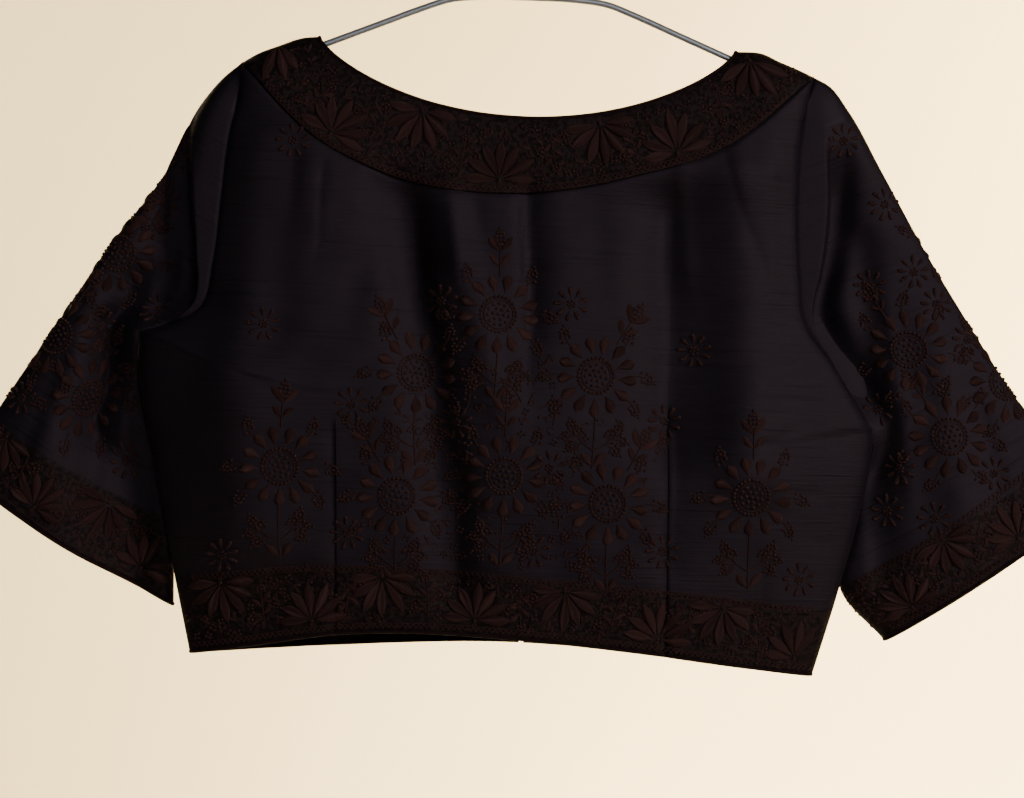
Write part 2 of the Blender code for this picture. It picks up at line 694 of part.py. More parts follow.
def build_piping(collection, front, band, back, sleeves):
    neck = ring_round_body(band, back["band", "left"], back["band", "right"], 0, 1)
    tube("neck_piping", neck, PIPING_RADIUS, False, PIPING_SILK, collection)
    hem = ring_round_body(front, back["panel", "left"], back["panel", "right"], -1, -2)
    tube("hem_piping", hem, PIPING_RADIUS, False, PIPING_SILK, collection)
    for side, sleeve in sleeves.items():
        cuff = edge_centres(sleeve, -1, -2)[:-1]
        tube(f"cuff_piping_{side}", cuff, PIPING_RADIUS, True, PIPING_SILK, collection)


def arm_down(across):
    return ARM_DOWN + ARM_SLOPE * (across - NECK_HALF)


def frame_outline():
    """Half of the bent wire, from the apex over the shoulder and round its end to the bar."""
    straight = [(across, arm_down(across)) for across in (ARM_START, ARM_START + ARM_STRAIGHT)]
    outline = list(smooth_curve(APEX_LINE + straight, np.linspace(0.0, 1.0, FRAME_STEPS)))
    slope = math.atan(ARM_SLOPE)
    centre_across = ARM_END - END_BEND_RADIUS * math.sin(slope)
    centre_down = arm_down(ARM_END) + END_BEND_RADIUS * math.cos(slope)
    for turn in np.linspace(slope - math.pi / 2, math.pi / 2, FRAME_STEPS):
        across = centre_across + END_BEND_RADIUS * math.cos(turn)
        outline.append((across, centre_down + END_BEND_RADIUS * math.sin(turn)))
    return np.array(outline)


def build_hanger(collection):
    half = frame_outline()
    other = half[:0:-1] * np.array([-1.0, 1.0])
    line = np.vstack([half, other])
    frame = world(line[:, 0], np.zeros(len(line)), line[:, 1])
    tube("hanger_frame", frame, WIRE_RADIUS, True, COATED_WIRE, collection)

    rings = []
    for height in np.linspace(0.0, 1.0, NECK_RINGS):
        around = np.arange(NECK_SIDES) * 2 * math.pi / NECK_SIDES
        radius = NECK_RADIUS + NECK_LOBE * np.cos(2 * (around - NECK_TURNS * 2 * math.pi * height))
        z = np.full_like(around, NECK_FOOT_Z + NECK_HEIGHT * height)
        rings.append(np.stack([radius * np.cos(around), radius * np.sin(around), z], axis=-1))
    place("hanger_neck", lofted("hanger_neck", rings), COATED_WIRE, collection)

    stem = [(0.0, STEM_FOOT_Z), (0.0, STEM_FOOT_Z + 0.5 * HOOK_STEM)]
    for turn in np.linspace(HOOK_START_TURN, HOOK_END_TURN, HOOK_STEPS):
        stem.append((HOOK_RADIUS * math.cos(turn), HOOK_CENTRE_Z + HOOK_RADIUS * math.sin(turn)))
    hook = [(across, 0.0, z) for across, z in stem]
    tube("hanger_hook", hook, WIRE_RADIUS, False, COATED_WIRE, collection)


def lofted(name, rings):
    """A closed solid through rings of like numbers of points."""
    count = len(rings[0])
    vertices = [tuple(point) for ring in rings for point in ring]
    faces = [tuple(range(count))[::-1]]
    for ring in range(len(rings) - 1):
        base = ring * count
        for side in range(count):
            ahead = (side + 1) % count
            faces.append((base + side, base + ahead, base + count + ahead, base + count + side))
    faces.append(tuple(range((len(rings) - 1) * count, len(rings) * count)))
    mesh = bpy.data.meshes.new(name)
    mesh.from_pydata(vertices, [], faces)
    mesh.shade_smooth()
    mesh.set_sharp_from_angle(angle=NECK_SHARP_ANGLE)
    return mesh


def main():
    for item in list(bpy.data.objects):
        bpy.data.objects.remove(item, do_unlink=True)
    collection = bpy.data.collections.new(COLLECTION)
    bpy.context.scene.collection.children.link(collection)
    front, band = build_front(collection)
    back = build_back(collection)
    sleeves = {}
    for side in ("left", "right"):
        sleeves[side] = build_sleeve(side, collection, front[1], back["panel", side][1])
    build_piping(collection, front, band, back, sleeves)
    build_hanger(collection)


main()
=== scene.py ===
"""The look of a dark silk choli blouse on its wire hanger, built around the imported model.

Metres, +Z up, in the model's own frame. Places on the cloth are `across`, along +X, and `down`,
below the level of the two neck points. Embroidery is laid out in the cloth's plane and then
carried onto the hanging cloth.
"""

import math

import bpy
import numpy as np
from mathutils import Matrix, Vector
from mathutils.bvhtree import BVHTree

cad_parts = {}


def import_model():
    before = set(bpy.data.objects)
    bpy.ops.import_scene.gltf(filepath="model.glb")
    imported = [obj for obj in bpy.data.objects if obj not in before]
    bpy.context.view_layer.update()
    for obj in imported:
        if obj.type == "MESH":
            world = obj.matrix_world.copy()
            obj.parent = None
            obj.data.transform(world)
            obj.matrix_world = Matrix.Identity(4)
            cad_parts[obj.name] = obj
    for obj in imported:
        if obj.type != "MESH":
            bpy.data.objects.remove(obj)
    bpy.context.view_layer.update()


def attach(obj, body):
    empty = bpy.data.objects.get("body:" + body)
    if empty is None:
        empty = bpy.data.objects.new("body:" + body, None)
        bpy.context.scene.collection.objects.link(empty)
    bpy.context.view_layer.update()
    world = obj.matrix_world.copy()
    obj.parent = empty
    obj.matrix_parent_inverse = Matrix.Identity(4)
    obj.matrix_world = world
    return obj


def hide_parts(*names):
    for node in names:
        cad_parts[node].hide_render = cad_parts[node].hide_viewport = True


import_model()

# Cloth, trim and hanger sizes, as in the solids
CLOTH = 0.0012
PIPING_RADIUS = 0.0012
WIRE_RADIUS = 0.00205
HOOK_RADIUS = 0.020
HOOK_STEM = 0.012
NECK_HEIGHT = 0.030
SOLID_GAP = 0.0004
APEX_DOWN = -0.0295
ARM_DOWN = 0.0065
ARM_SLOPE = 0.41
ARM_START = 0.066
ARM_END = 0.178
END_BEND_RADIUS = 0.016
HOOK_CENTRE_Z = WIRE_RADIUS - HOOK_RADIUS
STEM_FOOT_Z = HOOK_CENTRE_Z - HOOK_RADIUS - HOOK_STEM
NECK_FOOT_Z = STEM_FOOT_Z - SOLID_GAP - NECK_HEIGHT
NECK_POINT_Z = NECK_FOOT_Z - SOLID_GAP - WIRE_RADIUS + APEX_DOWN
NECK_HALF = 0.1325
NECK_DROP_FRONT = 0.0487
NECK_DROP_BACK = 0.058
NECK_ROUNDNESS = 0.72
PLACKET_HALF = 0.008
UNDERLAP_STEP = 0.0016
SEAM_ALLOWANCE = 0.005

SIDES = ("left", "right")


def tenths(table):
    """A table of places or sizes in metres, from one in tenths of a millimetre."""
    if isinstance(table, dict):
        return {key: tenths(rows) for key, rows in table.items()}
    return [tuple(value / 10000 for value in row) for row in table]


def polar(x, y, reach, turn):
    return x + reach * math.cos(turn), y + reach * math.sin(turn)


# Edges of the cut pieces, as places on the cloth
SHOULDER = tenths({
    "left": [(-1325, 0), (-1413, 10), (-1570, 66), (-1700, 120), (-1800, 182)],
    "right": [(1325, 0), (1485, 7), (1595, 54), (1714, 100), (1815, 145)],
})
ARMHOLE = tenths({
    "left": [(-1800, 182), (-1805, 400), (-1847, 613), (-1890, 1050), (-1925, 1438), (-1996, 1731), (-2150, 1835),
             (-2382, 1910)],
    "right": [(1815, 145), (1780, 300), (1740, 485), (1717, 897), (1749, 1433), (1783, 1679), (1983, 1962),
             (2263, 2363)],
})
SIDE_SEAM = tenths({
    "left": [(-2382, 1910), (-2385, 2120), (-2272, 2690), (-2099, 3470), (-1998, 3900)],
    "right": [(2263, 2363), (2266, 2445), (2200, 2900), (2090, 3360), (1940, 3905)],
})
SLEEVE_TOP = tenths({
    "left": [(-1800, 182), (-1916, 281), (-2043, 437), (-2260, 875), (-2630, 1390), (-2855, 1755)],
    "right": [(1815, 145), (1914, 194), (2039, 341), (2268, 712), (2569, 1208), (3058, 1949)],
})
SLEEVE_OUTSIDE = tenths({
    "left": [(-2855, 1755), (-3120, 2170), (-3510, 2800)],
    "right": [(3058, 1949), (3360, 2362), (3660, 2770)],
})
SLEEVE_UNDER = tenths({
    "left": [(-2382, 1910), (-2392, 2150), (-2280, 2690), (-2130, 3360), (-2120, 3610)],
    "right": [(2263, 2363), (2262, 2520), (2190, 2920), (2105, 3360), (2390, 3680)],
})
CUFF_BOW = {"left": 0.0045, "right": 0.0015}
BAND_SEAM_FRONT = tenths([
    (-1800, 182), (-1373, 604), (-871, 860), (-80, 962), (658, 838), (1351, 565), (1815, 145),
])
BAND_SEAM_BACK = tenths([
    (-1800, 182), (-1373, 650), (-871, 930), (0, 1050), (871, 920), (1351, 620), (1815, 145),
])
HEM_FRONT = tenths([
    (-1998, 3900), (-1660, 3840), (-1070, 3735), (-600, 3705), (0, 3722), (745, 3775), (1320, 3838), (1940, 3905),
])
HEM_BACK = tenths([
    (-1998, 3900), (-1100, 3830), (0, 3775), (1100, 3830), (1940, 3905),
])
BORDER_FRONT = tenths([
    (-2042, 3430), (-1203, 3325), (-317, 3330), (491, 3375), (1212, 3425), (2020, 3500),
])
BORDER_BACK = tenths([
    (-2042, 3470), (-1100, 3440), (0, 3400), (1100, 3442), (2020, 3480),
])

# How far the body's cloth stands out: level, front, back, power, roundness
HANG = [
    (-1.0, 0.013, 0.012, 6.0, 0.50),
    (0.0, 0.022, 0.018, 6.0, 0.50),
    (0.3, 0.028, 0.021, 3.2, 0.80),
    (0.7, 0.034, 0.024, 2.4, 0.80),
    (1.0, 0.037, 0.025, 2.2, 0.58),
    (1.5, 0.033, 0.023, 2.2, 0.55),
    (2.0, 0.026, 0.020, 2.2, 0.55),
]
ARMHOLE_OPEN = 0.0115
ARMHOLE_WIDEST = 0.35
# Folds: across and down at the top, across and down at the foot, half width, depth
FOLDS_FRONT = tenths([
    (-800, 860, -310, 3500, 150, 80), (-500, 920, -70, 2400, 120, -45), (40, 880, 100, 1900, 80, 30),
    (720, 1000, 780, 2300, 200, -30), (1470, 700, 1480, 2800, 230, -105), (-1500, 700, -1520, 1950, 150, 45),
    (-1780, 1600, -1650, 3500, 200, -35), (-1680, 600, -1720, 3300, 420, -85),
])
FINE_FRONT = tenths([
    (-440, 940, -385, 1500, 42, -16), (-300, 940, -250, 1280, 50, 10), (35, 920, 85, 1820, 30, 10),
    (240, 920, 270, 1700, 90, -10), (460, 940, 520, 1600, 80, 8), (-900, 860, -1040, 1900, 100, 12),
    (-1180, 780, -1260, 1300, 70, -10), (-1420, 700, -1440, 1120, 60, 16), (980, 720, 1060, 1500, 60, -12),
    (1430, 560, 1480, 1300, 80, 16), (1580, 500, 1600, 1650, 60, -12), (-2050, 1960, -1500, 2250, 60, 10),
    (2000, 2260, 1500, 2500, 70, 10), (-520, 2200, -400, 3720, 50, 10), (300, 3000, 330, 3720, 100, 10),
    (-1650, 3000, -1580, 3840, 110, 12), (1520, 3100, 1500, 3840, 120, 14),
])
# Pleats: across and down at the top, across and down at the foot, run to the left and right, depth
PLEATS_FRONT = tenths([
    (-700, 940, -600, 1520, 420, 80, 70), (-660, 1240, -290, 2920, 420, 70, 75),
    (-310, 2700, -330, 3560, 120, 50, 34), (10, 940, 92, 2250, 20, 180, 30), (900, 860, 970, 2620, 300, 340, 190),
    (1000, 2360, 1030, 3380, 60, 260, 40), (-1230, 800, -1280, 1400, 30, 100, 20),
    (-960, 840, -780, 1500, 40, 80, 16), (1240, 620, 1560, 1500, 90, 30, 18), (-2020, 1960, -1480, 2220, 80, 60, 6),
    (1950, 2770, 1660, 2746, 30, 60, 14), (2060, 3100, 1870, 3070, 30, 60, 12),
    (-1500, 3300, -1440, 3860, 40, 80, 10), (1600, 3300, 1620, 3880, 80, 40, 10),
])
SHOULDER_SEAMS = tenths([
    (-1790, 176, -1290, 100, 10, 16, 12), (1310, 80, 1800, 170, 10, 14, 5),
])
PLEATS_BACK = tenths([
    (-900, 1040, -660, 3200, 30, 90, 36), (800, 1040, 560, 3300, 90, 30, 38), (-1400, 800, -1500, 1800, 60, 30, 18),
    (1340, 800, 1460, 1900, 30, 70, 20), (2000, 2400, 1500, 2620, 40, 40, 12),
    (-2000, 2040, -1500, 2320, 40, 40, 12), (-1000, 3000, -960, 3840, 80, 40, 10),
])
FOLDS_BACK = tenths([
    (-900, 900, -600, 3300, 180, -80), (-450, 1100, -400, 2600, 150, 40), (750, 900, 500, 3400, 180, -85),
    (1400, 1000, 1350, 2500, 200, -60), (1150, 1200, 1050, 3000, 180, 40),
])
FINE_BACK = tenths([
    (-1300, 800, -1400, 1900, 80, 14), (-1060, 900, -1000, 1700, 60, -10), (-240, 1080, -260, 2000, 50, 10),
    (300, 1080, 340, 1800, 60, 10), (960, 920, 920, 1600, 60, 12), (1550, 600, 1580, 1500, 60, 14),
    (-2000, 2000, -1450, 2300, 70, 12), (2000, 2320, 1450, 2620, 70, 12), (-1500, 3000, -1440, 3860, 110, 14),
    (900, 3000, 880, 3840, 110, 12),
])
FOLD_RAMP = 0.030
# Sleeves, from the crown at 0 past the underarm at 1 to the cuff at 2: level, middle, half depth
SLEEVE_HANG = [
    (0.00, 0.000, 0.0055),
    (0.25, 0.004, 0.0070),
    (0.55, 0.009, 0.0085),
    (0.80, 0.011, 0.0100),
    (1.00, 0.011, 0.0115),
    (1.50, 0.010, 0.0150),
    (2.00, 0.009, 0.0190),
]
# Level and width of the cloth that stays beside the armhole
STRIP = {
    "left": [(0.00, 0.020), (0.15, 0.023), (0.30, 0.0250), (0.44, 0.020), (0.62, 0.013), (0.72, 0.008),
             (0.85, 0.003), (1.00, 0.0), (2.00, 0.0)],
    "right": [(0.00, 0.010), (0.11, 0.013), (0.25, 0.019), (0.41, 0.021), (0.53, 0.016), (0.65, 0.007),
              (0.75, 0.003), (1.00, 0.0), (2.00, 0.0)],
}
STRIP_STEP = {"left": 0.0060, "right": 0.0045}
HOLLOW = {"left": (0.0120, 0.0170, 0.0130), "right": (0.0075, 0.0115, 0.0120)}
BACK_BLEND = 0.035
UNDER_SETBACK = 0.0105
UNDER_SETBACK_RUN = 0.22
LAYER_GAP = 0.0040
CLOSING_START = 0.8
CROWN_LEVEL = 0.067
CROWN_ROWS = 9
FRONT_COLUMNS = 84
BACK_COLUMNS = 46
BELOW_CROWN = 0.165
SLEEVE_FOLDS = tenths({
    "left": [(-2320, 1200, -2720, 3000, 100, 40), (-2460, 1500, -2620, 2600, 200, 100),
             (-2400, 1850, -2320, 3720, 180, 150), (-2620, 2350, -2500, 3650, 200, 100),
             (-2620, 1600, -3000, 2850, 120, -30), (-2140, 960, -2220, 1750, 45, -18),
             (-2440, 1500, -2620, 2620, 50, 14), (-2840, 2000, -3180, 2960, 60, 12),
             (-2260, 2500, -2320, 3520, 60, 16)],
    "right": [(2140, 1100, 2380, 3300, 110, 50), (2620, 1700, 2860, 3000, 140, -30),
             (2320, 1500, 2520, 2800, 55, -12), (2900, 2100, 3180, 3000, 70, 12), (2220, 2550, 2360, 3520, 60, 16)],
})

# Darts of the shown side: down and across at the tip and at the hem
DARTS = {
    "left": ((0.236, -0.1114), (0.372, -0.1064)),
    "right": ((0.222, 0.0962), (0.376, 0.0998)),
}
DART_START = 0.018
DART_GROOVE = 0.0014
DART_TUCK = 0.0045
DART_EDGE = 0.0003
DART_FADE = 0.011
BAND_ENDS = ((0.0, 0.02), (0.0, 0.02, 0.05))
# Seams as shallow grooves: depth and half width
ARMHOLE_GROOVE = (0.0009, 0.0016)
BAND_GROOVE = (0.0010, 0.0015)
BORDER_GROOVE = (0.0004, 0.0022)
SLEEVE_GROOVE = (0.0006, 0.0016)
PLEAT_WANDER = 0.0012
CUFF_SHARE = 0.30
WARP_PITCH = 0.00055
WEFT_PITCH = 0.00048

# Embroidery: the runs of the braids and of the filling, and places in millimetres
HEM_RUNS = ((-0.199, 0.195), (-0.199, 0.194))
NECK_RUNS = ((-0.165, 0.167), (-0.172, 0.174))
FILL_PITCH = 0.0050
FILL_CLEAR = 0.0015
FOOT_BRAID, HEAD_BRAID = 0.0028, 0.0014
FOOT_FILL, HEAD_FILL = 0.0068, 0.0035
CUFF_BRAIDS = (0.0048, 0.0400)
CUFF_FILL = (0.0070, 0.0375)
CUFF_FOOT, CUFF_HEAD = 0.0090, 0.0345
CUFF_FAN_PITCH = 0.0400
STITCH_WIDTH = 0.00042
FLOWER_RADIUS = 0.0232
SLEEVE_FLOWER_RADIUS = 0.0235
# Sprays: across, down, lean of the bud, length of the vine
FRONT_SPRAYS = ((-12, 172, 0.0, 30), (-62, 210, 0.55, 34), (50, 208, -0.55, 34), (-71, 287, 0.5, 30),
                (-5, 272, 0.0, 34), (60, 287, -0.5, 32), (-144, 271, 0.0, 34), (149, 280, 0.0, 34))
FRONT_ROSETTES = ((-158, 183), (-101, 231), (-179, 328), (33, 164), (111, 190), (182, 331), (94, 235),
                  (95, 316), (23, 266), (-101, 311), (-144, 68), (-48, 165), (-36, 240), (15, 318))
FRONT_BRANCHES = ((4, 226, 2.0), (-30, 232, 1.2), (24, 240, 1.3), (-33, 300, 1.6), (30, 305, 1.5),
                  (-93, 250, 2.2), (88, 260, 0.9))
BACK_SPRAYS = ((-60, 205, 0.4, 32), (62, 208, -0.4, 32), (-70, 288, 0.4, 30), (66, 290, -0.4, 30),
               (-146, 272, 0.0, 30), (147, 276, 0.0, 30))
BACK_ROSETTES = ((-105, 190), (108, 188), (-104, 240), (106, 243), (-172, 325), (174, 330), (-32, 250), (33, 252),
                 (-30, 170), (32, 172), (-106, 318), (104, 320), (-28, 316), (30, 318), (-150, 160), (152, 170))
SLEEVE_FLOWERS = {
    ("left", 0): ((-288, 196), (-252, 142), (-262, 236)),
    ("left", 1): ((-262, 190), (-238, 125), (-290, 228)),
    ("right", 0): ((244, 186), (271, 240), (309, 204)),
    ("right", 1): ((262, 205), (236, 130), (300, 232)),
}
SLEEVE_ROSETTES = {
    "left": ((-214, 78), (-226, 108), (-262, 112), (-256, 190), (-236, 276), (-308, 236), (-222, 178), (-296, 164),
             (-232, 232)),
    "right": ((219, 146), (197, 56), (233, 289), (227, 94), (247, 136), (282, 178), (224, 226), (262, 156),
              (240, 262), (300, 262), (262, 292)),
}

# Room, camera and lights
WALL_Y, FLOOR_Z, WALL_TOP, ROOM_HALF = 4.6, -2.6, 5.0, 9
CAMERA_PLACE = (-0.0018, -1.70, NECK_POINT_Z - 0.2243)
CAMERA_LENS = 94.6
CAMERA_ROLL = 2.05
WORLD_STRENGTH = 0.02
# Lights: name, place, target, size, power, colour
LIGHTS = (
    ("window", (1.84, -1.58, 0.35), (0.0, 0.0, -0.3), (0.75, 0.9), 31.5, (1.0, 0.97, 0.95)),
    ("room", (-1.1, -2.0, 0.2), (0.0, 0.0, -0.3), (1.0, 1.2), 3.6, (0.72, 0.88, 1.0)),
    ("front", (0.30, -2.3, 0.1), (0.0, 0.0, -0.3), (0.6, 0.8), 8.5, (0.97, 0.95, 1.0)),
    ("behind", (-1.25, 2.4, 0.5), (0.0, 0.0, -0.3), (0.8, 1.0), 9.0, (1.0, 0.90, 0.80)),
    ("wall_wash", (2.4, 2.6, 0.6), (1.5, 4.6, -0.3), (1.8, 1.4), 490.0, (1.0, 0.82, 0.53)),
    ("wall_wash_low", (1.2, 2.9, -2.2), (0.8, 4.6, -1.1), (2.4, 0.8), 300.0, (1.0, 0.86, 0.62)),
    ("wall_wash_left", (-2.4, 2.6, 0.9), (-1.5, 4.6, 0.2), (1.6, 1.4), 74.0, (1.0, 0.97, 0.82)),
)


def hermite(knots, values, at):
    at = np.asarray(at, dtype=float)
    slopes = np.gradient(values, knots, axis=0)
    cell = np.clip(np.searchsorted(knots, at, side="right") - 1, 0, len(knots) - 2)
    width = knots[cell + 1] - knots[cell]
    part = (at - knots[cell]) / width
    if values.ndim > 1:
        part = part[..., None]
        width = width[..., None]
    start = (2 * part**3 - 3 * part**2 + 1) * values[cell]
    start_slope = (part**3 - 2 * part**2 + part) * width * slopes[cell]
    end = (3 * part**2 - 2 * part**3) * values[cell + 1]
    end_slope = (part**3 - part**2) * width * slopes[cell + 1]
    return start + start_slope + end + end_slope


def smooth_curve(points, at):
    """Values at the fractions `at` of a smooth curve through the points, by length."""
    points = np.asarray(points, dtype=float)
    steps = np.linalg.norm(np.diff(points[:, :2], axis=0), axis=1)
    knots = np.concatenate([[0.0], np.cumsum(steps)])
    return hermite(knots / knots[-1], points, at)


def table_at(table, level):
    rows = np.asarray(table, dtype=float)
    return [hermite(rows[:, 0], rows[:, column], level) for column in range(1, rows.shape[1])]


def smooth_step(value):
    value = np.clip(value, 0.0, 1.0)
    return value * value * (3.0 - 2.0 * value)


def down_along(outline):
    table = np.asarray(outline, dtype=float)

    def down(across):
        return hermite(table[:, 0], table[:, 1], np.clip(across, table[0, 0], table[-1, 0]))

    return down


def neckline(drop):
    def down(across):
        share = np.clip(np.abs(across) / NECK_HALF, 0.0, 1.0)
        return drop * (1.0 - share**2) ** NECK_ROUNDNESS

    return down


BAND_FRONT = down_along(BAND_SEAM_FRONT)
BAND_BACK = down_along(BAND_SEAM_BACK)
NECK_FRONT = neckline(NECK_DROP_FRONT)
NECK_BACK = neckline(NECK_DROP_BACK)
HEM = {"front": down_along(HEM_FRONT), "back": down_along(HEM_BACK)}
BORDER = {"front": down_along(BORDER_FRONT), "back": down_along(BORDER_BACK)}


def armhole_edge(side, level):
    level = np.asarray(level, dtype=float)
    upper = smooth_curve(ARMHOLE[side], np.clip(level, 0.0, 1.0))
    lower = smooth_curve(SIDE_SEAM[side], np.clip(level - 1.0, 0.0, 1.0))
    return np.where(level[..., None] <= 1.0, upper, lower)


def armhole_depth(level):
    level = np.asarray(level, dtype=float)
    rise = 1.0 - (1.0 - np.clip(level / ARMHOLE_WIDEST, 0.0, 1.0)) ** 2
    fall = 1.0 - np.clip((level - ARMHOLE_WIDEST) / (1.0 - ARMHOLE_WIDEST), 0.0, 1.0) ** 4
    return ARMHOLE_OPEN * np.sqrt(rise) * np.sqrt(fall)


def fold_depth(folds, across, down):
    total = np.zeros_like(across)
    for top_across, top_down, foot_across, foot_down, half_width, depth in folds:
        part = (down - top_down) / (foot_down - top_down)
        centre = top_across + (foot_across - top_across) * part
        shape = np.exp(-(((across - centre) / half_width) ** 2))
        start = smooth_step((down - top_down) / FOLD_RAMP + 0.5)
        end = 1.0 - smooth_step((down - foot_down) / FOLD_RAMP + 0.5)
        total += depth * shape * start * end
    return total


def pleat_depth(pleats, across, down):
    """Crisp creases, each with its own run of cloth to either side."""
    total = np.zeros_like(across)
    for top_across, top_down, foot_across, foot_down, left_run, right_run, depth in pleats:
        run = np.array([foot_across - top_across, foot_down - top_down])
        length = np.linalg.norm(run)
        run /= length
        along = (across - top_across) * run[0] + (down - top_down) * run[1]
        off = (across - top_across) * run[1] - (down - top_down) * run[0]
        off = off + PLEAT_WANDER * np.sin(along * 70 + 400 * top_across)
        soft = max(0.0008, 0.15 * min(left_run, right_run))
        away = np.sqrt(off**2 + soft**2) - soft
        sides = np.exp(-away / np.where(off < 0, left_run, right_run))
        ramp = 0.010 + 0.8 * max(left_run, right_run)
        ends = smooth_step(along / ramp + 0.35) * (1.0 - smooth_step((along - length) / (0.02 + ramp) + 0.6))
        total += depth * sides * ends
    return total


def slack(across, down, turn):
    """The small uneven swell of hanging cloth, under half a millimetre."""
    waves = np.zeros_like(across)
    for number, (stretch, drop, size) in enumerate(((95, 41, 0.26), (61, -83, 0.20), (163, 57, 0.12))):
        waves += size * np.sin(stretch * across + drop * down + turn + 1.7 * number)
        waves += 0.5 * size * np.sin(2.3 * drop * across - 1.9 * stretch * down + 2.1 * turn)
    return 0.001 * waves


def dart_across(name, down):
    (tip_down, tip_across), (foot_down, foot_across) = DARTS[name]
    part = np.clip((down - tip_down) / (foot_down - tip_down), 0.0, 1.0)
    return tip_across + (foot_across - tip_across) * part


def dart_relief(across, down):
    """How far the sewn darts draw the cloth in: a fine groove with a tuck at its left."""
    total = np.zeros_like(across)
    for name, step in (("left", 0.0003), ("right", 0.0016)):
        strength = smooth_step((down - DARTS[name][0][0]) / DART_START)
        off = across - dart_across(name, down)
        before, after = np.minimum(off, 0.0), np.maximum(off, 0.0)
        total += strength * (DART_GROOVE + step) * np.where(off <= 0.0, np.exp(before / DART_TUCK), 0.0)
        total += strength * DART_GROOVE * np.where(off > 0.0, np.exp(-after / DART_EDGE), 0.0)
        total += strength * step * np.where(off > 0.0, np.exp(-after / DART_FADE), 0.0)
    return total


def body_depth(face, kind, across, down, level, left_end, right_end):
    front, back, power, roundness = table_at(HANG, level)
    bulge = front if face == "front" else back
    share = np.abs(2.0 * across - left_end - right_end) / (right_end - left_end)
    share = np.clip(share, 0.0, 1.0)
    edge = armhole_depth(level)
    depth = edge + (bulge - edge) * (1.0 - share**power) ** roundness
    folds = FOLDS_FRONT + FINE_FRONT if face == "front" else FOLDS_BACK + FINE_BACK
    relief = fold_depth(folds, across, down) + slack(across, down, 0.4 if face == "front" else 2.9)
    pleats = PLEATS_FRONT if face == "front" else PLEATS_BACK
    if kind == "panel":
        relief = relief + pleat_depth(pleats, across, down)
    if face == "front" and kind == "panel":
        relief = relief + dart_relief(across, down)
    return depth - relief * (1.0 - share**6) + SOLID_GAP / 2


def world(across, depth, down):
    return np.stack([across, depth, NECK_POINT_Z - down], axis=-1)


def groove(distance, size):
    depth, half_width = size
    return depth * np.exp(-((distance / half_width) ** 2))


def planar(top, bottom, left, right, parts, shares):
    part = parts[:, None]
    across = left[:, :1] + shares * (right[:, :1] - left[:, :1])
    ends = []
    for curve, row in ((top, 0), (bottom, -1)):
        start = left[row, 0]
        stop = right[row, 0]
        ends.append((curve(start + shares * (stop - start)), curve(start), curve(stop)))
    inner = (1 - part) * ends[0][0] + part * ends[1][0]
    left_lift = left[:, 1:] - ((1 - part) * ends[0][1] + part * ends[1][1])
    right_lift = right[:, 1:] - ((1 - part) * ends[0][2] + part * ends[1][2])
    return across, inner + (1 - shares) * left_lift + shares * right_lift


def row_parts(left, right):
    parts = []
    for boundary in (left, right):
        length = np.concatenate([[0.0], np.cumsum(np.linalg.norm(np.diff(boundary, axis=0), axis=1))])
        parts.append(length / length[-1])
    return (parts[0] + parts[1]) / 2


def close_at_ends(count, start=(0.0, 0.0012, 0.004, 0.009), end=(0.0, 0.0012, 0.004, 0.009)):
    """Shares from 0 to 1 that lie closer together where the cloth turns or is sewn."""
    stop = [1.0 - step for step in reversed(end)]
    middle = np.linspace(start[-1], stop[0], count + 1)[1:-1]
    return np.concatenate([start, middle, stop])


def grid_normals(points, closed_from=None):
    along = np.gradient(points, axis=1)
    if closed_from is not None:
        wrap = points[closed_from:, 1] - points[closed_from:, -2]
        along[closed_from:, 0] = wrap
        along[closed_from:, -1] = wrap
    normals = np.cross(along, np.gradient(points, axis=0))
    return normals / np.maximum(np.linalg.norm(normals, axis=2, keepdims=True), 1e-12)


def quads(rows, columns, start=0):
    index = np.arange(rows * columns).reshape(rows, columns) + start
    return np.stack([index[:-1, :-1], index[:-1, 1:], index[1:, 1:], index[1:, :-1]], axis=-1).reshape(-1, 4)


def mesh_of(name, vertices, faces, uv, values):
    """A smooth mesh from arrays, with a UV layer and named values a vertex."""
    mesh = bpy.data.meshes.new(name)
    mesh.from_pydata(np.asarray(vertices).tolist(), [], [tuple(f) for f in faces])
    loops = np.empty(len(mesh.loops), dtype=np.int32)
    mesh.loops.foreach_get("vertex_index", loops)
    layer = mesh.uv_layers.new(name="weave")
    layer.data.foreach_set("uv", np.asarray(uv)[loops].astype(np.float32).ravel())
    for key, value in values.items():
        mesh.attributes.new(key, "FLOAT", "POINT").data.foreach_set("value", value.astype(np.float32))
    mesh.shade_smooth()
    return mesh


def put(name, data, finish, replaces=()):
    made = bpy.data.objects.new(name, data)
    bpy.context.scene.collection.objects.link(made)
    data.materials.append(finish)
    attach(made, "root")
    if replaces:
        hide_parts(*replaces)
    return made


